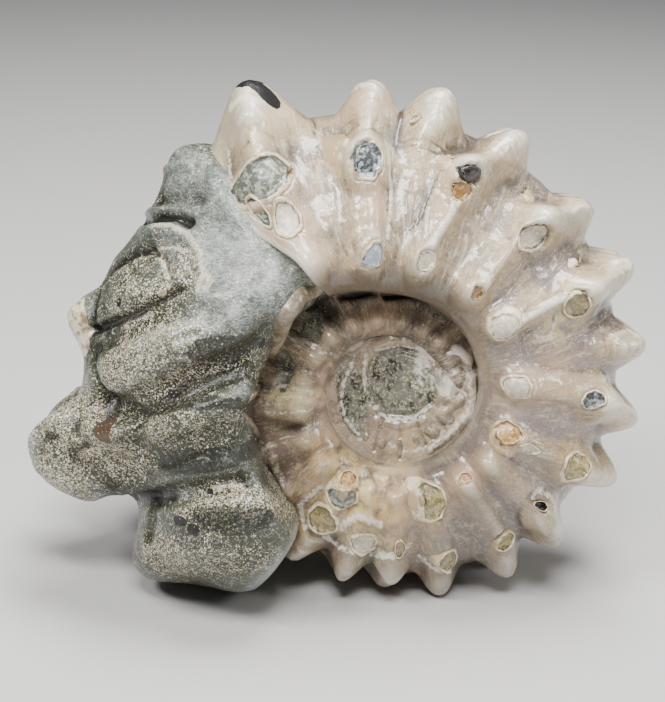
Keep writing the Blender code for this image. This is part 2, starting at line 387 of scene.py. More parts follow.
def run_tree(name, nodes, sizes=None):
    """An object whose plain mesh is what the tree makes with these sizes."""
    piece = placed(name, bpy.data.meshes.new(name))
    modifier = piece.modifiers.new("tree", "NODES")
    modifier.node_group = nodes.tree
    for item in nodes.tree.interface.items_tree:
        if item.item_type == "SOCKET" and item.in_out == "INPUT" and item.name in (sizes or {}):
            modifier[item.identifier] = sizes[item.name]
    graph = bpy.context.evaluated_depsgraph_get()
    mesh = bpy.data.meshes.new_from_object(piece.evaluated_get(graph))
    piece.modifiers.clear()
    piece.data = mesh
    mesh.name = name
    print(name, "has", len(mesh.vertices), "points and", len(mesh.polygons), "faces")
    return piece


def put_mask(mesh, label, values):
    """Stores one number for each point of a mesh, under a name that trees and finishes can read."""
    attribute = mesh.attributes.get(label) or mesh.attributes.new(label, "FLOAT", "POINT")
    attribute.data.foreach_set("value", np.array(values, np.float32))


def keep(piece):
    """Hangs a finished piece on the fossil's body root and hides the plain solid."""
    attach(piece, "root")
    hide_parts(NODE)
    return piece


print("every piece rides on the body root and stands for", NODE)

# %% [markdown]
# ## Ribs as strings of beads
#
# A rib runs from a knob at the umbilical edge over a large knob on the flank to a spine on the venter. We lay
# a string of invisible beads along that line, each with the height and the reach of the rib at that place.
# The tree then asks every point of the shell for its nearest bead. This is easier to shape than a texture,
# and the beads can be mirrored to the far flank with one sign.

# %% Beads
SHELL_RIBS = (
    (121.0, 120.0, 117.3, 11.0, 4.0),
    (99.5, 96.6, 94.8, 7.0, 4.6),
    (None, None, 81.6, 7.6, 0.0),
    (78.9, 72.2, 64.5, 5.8, 4.8),
    (55.8, 50.4, 44.2, 4.0, 4.6),
    (35.9, 29.0, 28.5, 6.0, 4.4),
    (None, None, 11.1, 5.0, 0.0),
    (7.8, -1.0, -6.1, 5.0, 4.2),
    (-16.6, -21.7, -21.2, 5.6, 4.0),
    (-33.0, -38.9, -41.8, 5.0, 3.8),
    (-49.2, -53.7, -56.2, 5.0, 3.8),
    (-69.6, -73.2, -74.8, 4.4, 3.4),
    (-87.0, -89.0, -90.5, 2.0, 3.2),
    (-101.0, -103.0, -104.5, 0.9, 3.0),
)
TIP_SHARE = 0.78
INNER_RIB_GAP = 15.0
INNER_RIB_STEP = 18.0
INNER_RIB_LEAN = (4.0, 1.5)
INNER_SPINE_TIP = 4.6
INNER_KNOB_HEIGHT = 3.2
UMBILICAL_ROW = 0.24
LATERAL_ROW = 0.775
LATERAL_ROW_DRIFT = -0.0005
VENTRAL_ROW = 0.955
REACH = 1.85


class Beads:
    """Invisible points along ribs and on knobs, each with a height and a reach in millimetres."""

    def __init__(self, name):
        self.name = name
        self.places = []
        self.heights = []
        self.reaches = []

    def add(self, place, height, half_width):
        self.places.append(place)
        self.heights.append(height)
        self.reaches.append(half_width * REACH)

    def both_flanks(self, angle, h, height, half_width):
        for side in (1.0, -1.0):
            self.add(flank_place(angle, h, side), height, half_width)

    def mesh(self):
        mesh = bpy.data.meshes.new(self.name)
        mesh.from_pydata([tuple(place) for place in self.places], [], [])
        for label, values in (("height", self.heights), ("reach", self.reaches)):
            put_mask(mesh, label, values)
        beads = bpy.data.objects.new(self.name, mesh)
        print(self.name, "has", len(self.places), "beads")
        return beads


def all_ribs():
    """The listed ribs and the evenly spaced ones further in, each with the size of its whorl."""
    def whorl_size(angle):
        return float(grown(1.0, VENTER_GROWTH, angle))

    ribs = [rib + (whorl_size(rib[2]),) for rib in SHELL_RIBS]
    angle = SHELL_RIBS[-1][2] - INNER_RIB_GAP
    while angle > START_ANGLE:
        size = whorl_size(angle)
        umbilical, lateral = (angle + lean for lean in INNER_RIB_LEAN)
        ribs.append((umbilical, lateral, angle, INNER_SPINE_TIP * size, INNER_KNOB_HEIGHT * size, size))
        angle -= INNER_RIB_STEP
    return ribs


print(len(SHELL_RIBS), "listed ribs and", len(all_ribs()) - len(SHELL_RIBS), "evenly spaced ones")

# %% [markdown]
# A rib is a little higher on the shoulder, just below the spine, and lower where it crosses the venter.
# Ribs between two knobs start halfway up the flank, so they fade in from nothing.

# %% String the beads
BEADS_OF_A_RIB = 40
RIB_HEIGHT = 2.1
RIB_HALF_WIDTH = 3.3
SHOULDER_HEIGHT = 1.6
SHOULDER_ROW = 0.87
SHOULDER_BREADTH = 0.05
LOWER_ON_VENTER = 0.55
UMBILICAL_KNOB_HEIGHT = 1.7
UMBILICAL_KNOB_HALF_WIDTH = 2.9
LATERAL_KNOB_HALF_WIDTH = 4.3
SPINE_HALF_WIDTH = 3.9
LONG_SPINE = 6.0
LONG_SPINE_WIDENING = 0.5


def string_rib(ridges, knots, size, fade=0.0):
    """Lays a rib's beads through (angle, h) knots on both flanks. It fades in where fade is 1."""
    knots = np.array(knots)
    for share in np.linspace(0.0, len(knots) - 1.0, BEADS_OF_A_RIB):
        angle = float(np.interp(share, range(len(knots)), knots[:, 0]))
        h = min(float(np.interp(share, range(len(knots)), knots[:, 1])), 1.0)
        shoulder = SHOULDER_HEIGHT * math.exp(-((h - SHOULDER_ROW) / SHOULDER_BREADTH) ** 2)
        over = 1.0 - LOWER_ON_VENTER * float(eased(h, VENTRAL_ROW, 1.0))
        rise = 1.0 - fade * (1.0 - float(eased(share, 0.0, 1.0)))
        ridges.both_flanks(angle, h, (RIB_HEIGHT * over + shoulder) * size * rise, RIB_HALF_WIDTH * size)


def shell_beads():
    ridges = Beads("rib beads")
    knobs = Beads("flank knob beads")
    spines = Beads("spine beads")
    for umbilical, lateral, ventral, tip, knob, size in all_ribs():
        if lateral is None:
            line = ((ventral + INNER_RIB_LEAN[0], 0.5), (ventral, VENTRAL_ROW), (ventral, 1.0))
            string_rib(ridges, line, size, fade=1.0)
        else:
            row = LATERAL_ROW + LATERAL_ROW_DRIFT * lateral
            line = ((umbilical, UMBILICAL_ROW), (lateral, row), (ventral, VENTRAL_ROW), (ventral, 1.0))
            string_rib(ridges, line, size)
            height, half_width = UMBILICAL_KNOB_HEIGHT * size, UMBILICAL_KNOB_HALF_WIDTH * size
            knobs.both_flanks(umbilical, UMBILICAL_ROW, height, half_width)
            knobs.both_flanks(lateral, row, knob, LATERAL_KNOB_HALF_WIDTH * size)
        half_width = SPINE_HALF_WIDTH * size + LONG_SPINE_WIDENING * max(tip - LONG_SPINE, 0.0)
        spines.both_flanks(ventral, VENTRAL_ROW, tip * TIP_SHARE, half_width)
    return ridges.mesh(), knobs.mesh(), spines.mesh()


rib_beads, knob_beads, spine_beads = shell_beads()

# %% [markdown]
# ## Relief of the stone cast
#
# The cast has lost its shell, so it shows the inside of the living chamber: broad flutes under the ribs and
# round swellings under the tubercles, all softer than the shell's own. There are few of them and they are
# large, so each is written straight into the tree as a line or a point in the coil's plane.

# %% Flutes and swellings of the cast
CAST_RIBS = (
    (-24.0, 37.0, -46.0, 50.0, 2.0, 5.0),
    (-20.0, 27.0, -62.0, 14.0, 2.5, 6.0),
    (-24.0, 20.0, -57.0, 2.5, 4.0, 4.6),
    (-30.0, 4.0, -70.0, -14.0, 4.5, 5.0),
    (-22.0, -16.5, -50.0, -35.0, 3.0, 6.0),
)
CAST_KNOBS = (
    (-44.0, 46.0, 9.0, 4.5, 6.5),
    (-51.0, 35.0, 13.0, 3.0, 5.0),
    (-56.0, 26.0, 10.0, 2.6, 5.5),
    (-52.7, 24.3, 26.0, 4.0, 8.5),
    (-62.0, 13.0, 8.0, 7.0, 5.5),
    (-60.5, -8.0, 10.0, 10.6, 5.6),
    (-58.6, -17.0, 10.0, 13.8, 6.2),
    (-46.5, -36.0, 9.0, 4.5, 7.5),
)
FLANK_KNOB_FROM = 20.0
FALL_OFF = 0.9


def soft_bump(distance, half_width):
    return math.e ** (distance * distance * (-FALL_OFF / half_width ** 2))


def line_distance(a, b, start, end):
    """Distance in the coil's plane from (a, b) to the line between two places."""
    run = (end[0] - start[0], end[1] - start[1])
    length = run[0] ** 2 + run[1] ** 2
    share = (a - start[0]) * (run[0] / length) + (b - start[1]) * (run[1] / length)
    share = share_between(share, 0.0, 1.0)
    across = a - start[0] - share * run[0]
    up = b - start[1] - share * run[1]
    return (across * across + up * up) ** 0.5


def cast_relief(nodes, sizes, position, a, b, c):
    """Height along the normal and reach outwards, in millimetres. Takes what `shell_relief` below takes."""
    lift = 0.0
    reach = 0.0
    for a0, b0, a1, b1, height, half_width in CAST_RIBS:
        lift = lift + soft_bump(line_distance(a, b, (a0, b0), (a1, b1)), half_width) * height
    for a0, b0, c0, height, half_width in CAST_KNOBS:
        away = nodes.combine("DISTANCE", (a, b, size_of(c)), (a0, b0, c0))
        swelling = soft_bump(away, half_width) * height
        if c0 > FLANK_KNOB_FROM:
            lift = lift + swelling
        else:
            reach = reach + swelling
    return lift, reach


print(len(CAST_RIBS), "flutes and", len(CAST_KNOBS), "swellings on the cast")

# %% [markdown]
# ## One tree for shell and cast
#
# The tube starts as a flat grid: its long side runs along the coil and its short side goes once round the
# section. Set Position rolls the grid up by the laws above, and a second Set Position raises ribs, knobs
# and spines from it along the surface's normal. Spines also reach straight out and a little backwards, as
# they do on the real shell. At both ends the last row is drawn together, so the tube is closed.

# %% Tools of the whorl tree
SPINE_BLUNTNESS = 2.4
BEAD_SHAPE = 3.0


def stored(nodes, label):
    return nodes.make("GeometryNodeInputNamedAttribute", label, data_type="FLOAT")


def store(nodes, geometry, label, value):
    return nodes.make("GeometryNodeStoreNamedAttribute", geometry, None, label, value, data_type="FLOAT")


def place_of(nodes):
    position = nodes.make("GeometryNodeInputPosition")
    split = nodes.add("ShaderNodeSeparateXYZ", position)
    return [position] + [Field(nodes, split.outputs[i]) for i in range(3)]


def raised_by(nodes, beads, position, bluntness=2.0):
    """Height in millimetres that the nearest of these beads gives each point."""
    points = nodes.make("GeometryNodeObjectInfo", beads, output=4)
    nearest = nodes.make("GeometryNodeSampleNearest", points, position)

    def of_nearest(value, kind="FLOAT"):
        return nodes.make("GeometryNodeSampleIndex", points, value, nearest, data_type=kind)

    place = of_nearest(nodes.make("GeometryNodeInputPosition"), "FLOAT_VECTOR")
    height, reach = of_nearest(stored(nodes, "height")), of_nearest(stored(nodes, "reach"))
    share = smaller(nodes.combine("DISTANCE", position, place) / reach, 1.0)
    return height * (1.0 - share ** bluntness) ** BEAD_SHAPE


def shell_relief(nodes, sizes, position, a, b, c):
    """Height along the normal and reach outwards, in millimetres."""
    lift = raised_by(nodes, sizes["Ribs"], position) + raised_by(nodes, sizes["Knobs"], position)
    return lift, raised_by(nodes, sizes["Spines"], position, SPINE_BLUNTNESS)


def wobble(nodes, position, scale, amount, seed):
    noise = nodes.make("ShaderNodeTexNoise", position + (seed, seed, seed), scale, 2.0)
    return (noise - 0.5) * 2.0 * amount


def side_of_turn(turn):
    return sign_of(sine(turn))


print("a bead gives", round(100 * (1 - 0.5 ** 2) ** BEAD_SHAPE), "percent of its height at half its reach")

# %% [markdown]
# The tree works in three steps, one function each. It stores the coil angle, the height in the section and
# the side on the points, because the steps and the finishes all need them.

# %% Roll the grid up
CLOSED_SHARE = 1e-4
MERGE = 1e-3
EDGE_WAVES = 0.35
EDGE_WAVE_SCALE = 3.0
EDGE_STRAIGHT_FROM = 0.7
EDGE_MIDDLE = 0.6


def rolled_grid(nodes, sizes):
    """The plain tube. The shell's edge is skewed and wavy where the tree's sizes ask for it."""
    grid = nodes.make("GeometryNodeMeshGrid", 1.0, 1.0, sizes["Rows"], sizes["Around"])
    position, x, y, z = place_of(nodes)
    turn = (y + 0.5) * (2.0 * math.pi)
    h = 0.5 - 0.5 * cosine(turn)
    waves = nodes.make("ShaderNodeTexNoise", (h, side_of_turn(turn), 0.0), EDGE_WAVE_SCALE, 3.0)
    ragged_edge = (waves - 0.5) * EDGE_WAVES
    skew = eased(h, 0.0, EDGE_STRAIGHT_FROM) - EDGE_MIDDLE + ragged_edge
    last = sizes["Last angle"] + sizes["Edge skew"] * skew
    angle = sizes["First angle"] + (last - sizes["First angle"]) * (x + 0.5)
    end = nodes.combine("GREATER_THAN", size_of(x), 0.5 - CLOSED_SHARE)
    kept = {"angle": angle, "last": last, "h": h, "side": side_of_turn(turn), "end": end}
    rings = grid
    for label, value in kept.items():
        rings = store(nodes, rings, label, value)
    angle, h, side = (stored(nodes, label) for label in ("angle", "h", "side"))
    a, b, c = tube_place(angle, h, side)
    thinner = 1.0 - sizes["Thinner"] / half_breadth(angle)
    rolled = nodes.make("GeometryNodeSetPosition", rings, None, (a, b, c * thinner))
    rolled = nodes.make("GeometryNodeFlipFaces", rolled)
    return nodes.make("GeometryNodeMergeByDistance", rolled, None, MERGE)


print("points of the tube closer than", MERGE, "mm are merged")

# %% [markdown]
# The relief is measured on the plain tube and stored before the points move. Towards the seam it fades out,
# because the whorls lie close together there. The lip is the rounded edge of the shell.

# %% Raise the relief
SPINE_ALONG_NORMAL = 0.35
SPINE_OUTWARD = 0.75
SPINE_BACKWARD = 0.22
BARE_SEAM = 0.12
BROAD_WOBBLE = 0.12
FINE_WOBBLE = 0.45
FINE_WOBBLE_SHARE = 0.35
UNDER_SHELL_FOR = 7.0


def with_relief(nodes, sizes, rolled, relief):
    """The tube with ribs, knobs, spines, a slight unevenness and a rounded edge."""
    angle, last, h = (stored(nodes, label) for label in ("angle", "last", "h"))
    position, a, b, c = place_of(nodes)
    normal = nodes.make("GeometryNodeInputNormal")
    lift, reach = relief(nodes, sizes, position, a, b, c)
    raised = store(nodes, rolled, "relief", lift)
    raised = store(nodes, raised, "spine", reach)
    lift, reach = stored(nodes, "relief"), stored(nodes, "spine")
    rough = wobble(nodes, position, BROAD_WOBBLE, sizes["Wobble"], sizes["Seed"])
    rough = rough + wobble(nodes, position, FINE_WOBBLE, sizes["Wobble"] * FINE_WOBBLE_SHARE, sizes["Seed"])
    edge = share_between(angle, last - sizes["Lip angle"], last)
    lip = sizes["Lip depth"] * (1.0 - (1.0 - smaller(edge * edge, 1.0)) ** 0.5)
    under = sizes["Under shell"] * (1.0 - eased(angle, SHELL_END, SHELL_END + UNDER_SHELL_FOR))
    along_normal = (lift + rough + SPINE_ALONG_NORMAL * reach) * eased(h, 0.0, BARE_SEAM) - lip - under
    radius = (a * a + b * b) ** 0.5
    outward = reach * SPINE_OUTWARD / radius
    backward = reach * SPINE_BACKWARD / radius
    spread = (a * outward + b * backward, b * outward - a * backward, 0.0)
    return nodes.make("GeometryNodeSetPosition", raised, None, None, normal * along_normal + spread)


print("spines reach", round(100 * SPINE_OUTWARD), "percent of their height straight out")

# %% [markdown]
# The last rows are drawn to the middle of the section, which closes the tube. Where a rounding is asked
# for, the rows before them shrink as well, so that the broken end of the cast is blunt and not sharp.

# %% Close the ends and stand the tube up
END_ROUNDING = 11.2
END_SHRINK = 0.22
TUBE_SIZES = (
    ("Rows", "Int", 500), ("Around", "Int", 180),
    ("First angle", "Float", 0.0), ("Last angle", "Float", 90.0), ("Edge skew", "Float", 0.0),
    ("Lip angle", "Float", 1.2), ("Lip depth", "Float", 1.3),
    ("Under shell", "Float", 0.0), ("Thinner", "Float", 0.0), ("Rounding", "Float", 0.0),
    ("Wobble", "Float", 0.3), ("Seed", "Float", 1.0), ("Ribs", "Object", None), ("Knobs", "Object", None),
    ("Spines", "Object", None))


def with_closed_ends(nodes, sizes, raised):
    angle, end = (stored(nodes, label) for label in ("angle", "end"))
    position = nodes.make("GeometryNodeInputPosition")
    middle = nodes.make("ShaderNodeCombineXYZ", *tube_place(angle, 0.5, 0.0))
    rounding = share_between(angle, sizes["Last angle"] - sizes["Rounding"] - MERGE, sizes["Last angle"])
    is_rounded = nodes.combine("GREATER_THAN", sizes["Rounding"], 0.0)
    inwards = larger(end, END_SHRINK * rounding ** 3.0 * is_rounded)
    closed = nodes.make("GeometryNodeSetPosition", raised, None, position + (middle - position) * inwards)
    return nodes.make("GeometryNodeMergeByDistance", closed, None, MERGE)


def whorl_tree(name, material, relief):
    nodes, sizes = new_tree(name, TUBE_SIZES)
    rolled = rolled_grid(nodes, sizes)
    closed = with_closed_ends(nodes, sizes, with_relief(nodes, sizes, rolled, relief))
    x, y, z = stand(*place_of(nodes)[1:])
    standing = nodes.make("GeometryNodeSetPosition", closed, None, (x * MM, y * MM, larger(z, 0.0) * MM))
    standing = nodes.make("GeometryNodeSetShadeSmooth", standing, None, True)
    end_tree(nodes, standing, material)
    return nodes


print("a whorl's tree has", len(TUBE_SIZES), "named inputs")

# %% [markdown]
# ## Mixing finishes
#
# All finishes are mixed from colours with plain names. The mixing reads the place in the object in
# millimetres, the tube's own angle and height, and a few masks that we paint onto the pieces further down.
# A noise that is added to a mask before it is cut off gives the ragged edges that worn shell has.

# %% Colours and helpers for finishes
BEIGE = (0.49, 0.365, 0.215)
CREAM = (0.80, 0.69, 0.49)
ROSE = (0.25, 0.165, 0.092)
LILAC = (0.26, 0.205, 0.20)
# dark grey-brown of the painted shade in hollows and on the lower part of the whorl
SHADE_DARK = (0.11, 0.088, 0.075)
# dark brown of the painted shade in fine grooves and down the umbilical wall
SHADE_UMBER = (0.075, 0.052, 0.034)
OCHRE = (0.58, 0.34, 0.11)
LEMON = (0.74, 0.62, 0.30)
AMBER = (0.34, 0.16, 0.04)
OLIVE = (0.21, 0.17, 0.06)
PEARL_BLUE = (0.33, 0.38, 0.46)
PLUM = (0.16, 0.10, 0.10)
BROWN = (0.135, 0.095, 0.062)
PEACH = (0.62, 0.42, 0.27)
JET = (0.012, 0.010, 0.010)
GREENSTONE = (0.034, 0.038, 0.018)
# bluish colour of the painted sheen on the cast's upper part
SHEEN_BLUE = (0.27, 0.30, 0.275)
SLATE = (0.010, 0.011, 0.008)
SAND = (0.62, 0.53, 0.32)
CHALK = (0.80, 0.75, 0.64)
RUST = (0.085, 0.05, 0.027)
COAT_IOR = 1.5


def new_material(name):
    """A material with its node maker, its shader and the place in millimetres."""
    material = bpy.data.materials.new(name)
    material.use_nodes = True
    nodes = Nodes(material.node_tree)
    shader = material.node_tree.nodes["Principled BSDF"]
    place = nodes.make("ShaderNodeTexCoord", output=3) * (1.0 / MM)
    return material, nodes, shader, place


def mask(nodes, label):
    return nodes.make("ShaderNodeAttribute", attribute_name=label, output=2)


def noise(nodes, place, scale, detail=3.0, roughness=0.5, warp=0.0):
    return nodes.make("ShaderNodeTexNoise", place, scale, detail, roughness, 2.0, warp)


def layer(nodes, under, over, share):
    """The colour over laid on the colour under."""
    return nodes.make("ShaderNodeMix", smaller(larger(share, 0.0), 1.0), under, over, data_type="RGBA")


def ragged(nodes, value, place, scale=0.9, amount=0.5, softness=0.06):
    """A painted mask cut off at a half, with an uneven edge."""
    uneven = value + (noise(nodes, place, scale, 5.0, 0.6) - 0.5) * amount
    return eased(uneven, 0.5 - softness, 0.5 + softness)


def hairline(nodes, place, scale, width, warp=0.0):
    """Thin lines where a noise passes its middle value."""
    return 1.0 - eased(size_of(noise(nodes, place, scale, 2.0, 0.5, warp) - 0.5), 0.0, width)


def bumped(nodes, height, under=None):
    """A normal for small relief, with the height in millimetres."""
    node = nodes.add("ShaderNodeBump")
    nodes.put(node.inputs["Height"], height)
    node.inputs["Strength"].default_value = 1.0
    node.inputs["Distance"].default_value = MM
    nodes.put(node.inputs["Normal"], under)
    return Field(nodes, node.outputs["Normal"])


def finish(nodes, shader, colour, rough, coat, coat_rough, normal, coat_normal=None):
    nodes.put(shader.inputs["Base Color"], colour)
    nodes.put(shader.inputs["Roughness"], rough)
    nodes.put(shader.inputs["Normal"], normal)
    nodes.put(shader.inputs["Coat Normal"], coat_normal or normal)
    nodes.put(shader.inputs["Coat Weight"], coat)
    shader.inputs["Coat Roughness"].default_value = coat_rough
    shader.inputs["Coat IOR"].default_value = COAT_IOR


print("the darkest colour is", JET, "and the palest is", CHALK)

# %% [markdown]
# ## Polished mother-of-pearl
#
# The shell is thin nacre that was sanded and polished to a wet gloss. It is cream on the ribs, where the
# polish went deepest, and lilac and grey in the valleys. Painted highlights lighten the crests. Painted shade
# darkens the hollows, the lower part of the whorl and the umbilical wall, which is darkest at the top of the
# coil. Growth lines run across the tube from the seam to the venter, so their noise is stretched in the
# tube's own directions. A clear coat gives the wet highlights.

# %% Nacre
def shell_finish():
    material, nodes, shader, place = new_material("nacre")
    angle, h, side = (mask(nodes, label) for label in ("angle", "h", "side"))
    relief, spine = mask(nodes, "relief"), mask(nodes, "spine")
    grain_place = nodes.make("ShaderNodeCombineXYZ", angle * 0.9, h * 9.0, side * 7.0)
    streaks = noise(nodes, grain_place, 0.9, 6.0, 0.65)
    broad = noise(nodes, place, 0.09, 3.0, 0.55, 0.6)
    cloud = noise(nodes, place, 0.33, 5.0, 0.6, 0.4)

    valley = 1.0 - eased(relief + spine * 0.5 + (cloud - 0.5) * 1.6, 0.2, 2.0)
    cool = 0.25 + 0.75 * (1.0 - eased(angle, 30.0, 85.0))
    # painted shade: darker towards the bottom of the last whorl, where less light falls
    under = 1.0 - eased(angle + (broad - 0.5) * 40.0, -62.0, -12.0)
    hollow, groove = mask(nodes, "hollow"), mask(nodes, "groove")
    hollow = hollow * (0.35 + 0.65 * eased(angle, -125.0, -115.0))
    fine = noise(nodes, place, 1.5, 5.0, 0.7, 0.8)
    smudge = noise(nodes, place, 0.16, 6.0, 0.68, 1.0)
    colour = layer(nodes, BEIGE, ROSE, eased(broad + (smudge - 0.5) * 0.9, 0.44, 0.70) * 0.85)
    colour = layer(nodes, colour, LILAC, valley * cool * eased(broad + streaks * 0.3, 0.46, 0.64))
    colour = layer(nodes, colour, BROWN, eased(smudge + streaks * 0.35, 0.60, 0.82) * 0.7)
    # painted shade in brown on the lower part of the whorl, strongest in the valleys
    colour = layer(nodes, colour, BROWN, under * (0.25 + 0.6 * valley))
    # painted shade: the hollows of the shell are darkened
    colour = layer(nodes, colour, SHADE_DARK, eased(hollow + (smudge - 0.5) * 0.9, 0.10, 0.95) * 0.75)
    colour = layer(nodes, colour, CREAM, eased(streaks + (smudge - 0.5) * 0.9, 0.50, 0.74) * 0.65)
    colour = layer(nodes, colour, CREAM, eased(fine + (cloud - 0.5) * 0.5, 0.56, 0.66) * 0.5)
    # painted highlight: crests of the relief and the spines are lightened with cream
    crest = (spine * 0.4 - hollow * 1.6) * eased(angle, -130.0, -110.0)
    colour = layer(nodes, colour, CREAM, eased(crest + (smudge - 0.5) * 5.0, 1.0, 2.6) * 0.45)
    colour = layer(nodes, colour, OLIVE, eased(cloud + (smudge - 0.5) * 0.8, 0.60, 0.78) * 0.35)
    webs = larger(hairline(nodes, place, 0.20, 0.006, 1.2), hairline(nodes, place, 0.5, 0.012, 1.6) * 0.7)
    colour = layer(nodes, colour, CREAM, webs * 0.75)
    # painted shade: fine grooves are darkened
    colour = layer(nodes, colour, SHADE_UMBER, eased(groove, 0.04, 0.22) * 0.85)
    # painted highlight: fine crests of the shell are lightened with chalk
    colour = layer(nodes, colour, CHALK, eased(-groove, 0.08, 0.28) * 0.6 * eased(angle, -132.0, -115.0))
    # painted shade down the umbilical wall, deepest at the top of the coil where the wall faces down; the
    # bright mask takes it away
    wall = 1.0 - eased(h + (cloud - 0.5) * 0.10, 0.07, 0.25)
    wall = wall * (0.40 + 0.45 * eased(angle, 20.0, 70.0)) * (1.0 - mask(nodes, "bright"))
    colour = layer(nodes, colour, SHADE_UMBER, wall)
    # more painted shade on the lower part of the last whorl
    colour = layer(nodes, colour, SHADE_DARK, under * 0.45 * eased(angle, -125.0, -110.0))
    labels = ("stain", "lemon", "plum", "peach", "rock", "chalk", "jet")
    painted = {label: mask(nodes, label) for label in labels}
    fleck = noise(nodes, place, 2.0, 4.0, 0.7)
    colour = layer(nodes, colour, OCHRE, painted["stain"] * eased(cloud + streaks * 0.4, 0.50, 0.85) * 0.8)
    colour = layer(nodes, colour, LEMON, painted["lemon"] * eased(cloud + fleck * 0.3, 0.48, 0.75) * 0.9)
    colour = layer(nodes, colour, PEACH, painted["peach"] * eased(broad + cloud, 0.7, 1.1) * 0.8)
    colour = layer(nodes, colour, PLUM, ragged(nodes, painted["plum"], place) * 0.75)
    stone = layer(nodes, (0.17, 0.165, 0.13), SLATE, eased(cloud + fleck * 0.5, 0.72, 0.90))
    stone = layer(nodes, stone, SAND, eased(fine, 0.52, 0.60) * 0.8)
    colour = layer(nodes, colour, stone, ragged(nodes, painted["rock"], place, 1.1, 0.35))
    # chalk: a chalky crust on the disc and inner whorls, and a painted highlight along the shell's crests and
    # round its black cap
    chalk = ragged(nodes, painted["chalk"] * 0.85, place, 1.1, 1.5, 0.16)
    colour = layer(nodes, colour, CHALK, chalk * 0.85)
    jet = ragged(nodes, painted["jet"], place, 0.8, 0.45, 0.03)
    colour = layer(nodes, colour, JET, jet)

    lines = noise(nodes, nodes.make("ShaderNodeCombineXYZ", angle * 1.6, h * 3.0, side * 7.0), 1.0, 4.0, 0.6)
    wavy = (noise(nodes, place, 0.30, 2.0) - 0.5) * 0.26
    pores = eased(fine, 0.60, 0.78) * -0.06 + webs * 0.03
    coat_normal = bumped(nodes, wavy + (lines - 0.5) * 0.02 + (cloud - 0.5) * 0.06 + webs * 0.01)
    normal = bumped(nodes, wavy + (lines - 0.5) * 0.22 + pores)
    rough = 0.36 + (streaks - 0.5) * 0.3 + chalk * 0.3
    finish(nodes, shader, colour, rough, 1.0 - chalk * 0.7, 0.05, normal, coat_normal)
    return material


nacre = shell_finish()
print("nacre has", len(nacre.node_tree.nodes), "nodes")

# %% [markdown]
# ## Stone of the cast
#
# The cast is a green-grey sandstone, polished as well. Cream grains of a third to a half of a millimetre
# lie in a dark cement. They are a mosaic of cells, of which only the palest are coloured. Sand gathers in
# drifts, so a broad noise and a painted mask decide how many grains show.

# %% Cast stone
def grains(nodes, place, scale, least):
    """1 on a grain and 0 on the cement. Fewer cells carry a grain when least is larger."""
    cells = nodes.add("ShaderNodeTexVoronoi", place, scale)
    nodes.put(cells.inputs["Randomness"], 1.0)
    pick = nodes.add("ShaderNodeSeparateColor", Field(nodes, cells.outputs["Color"]))
    chosen = eased(Field(nodes, pick.outputs[0]), least, least + 0.04)
    return chosen * (1.0 - eased(Field(nodes, cells.outputs["Distance"]), 0.35, 0.55))


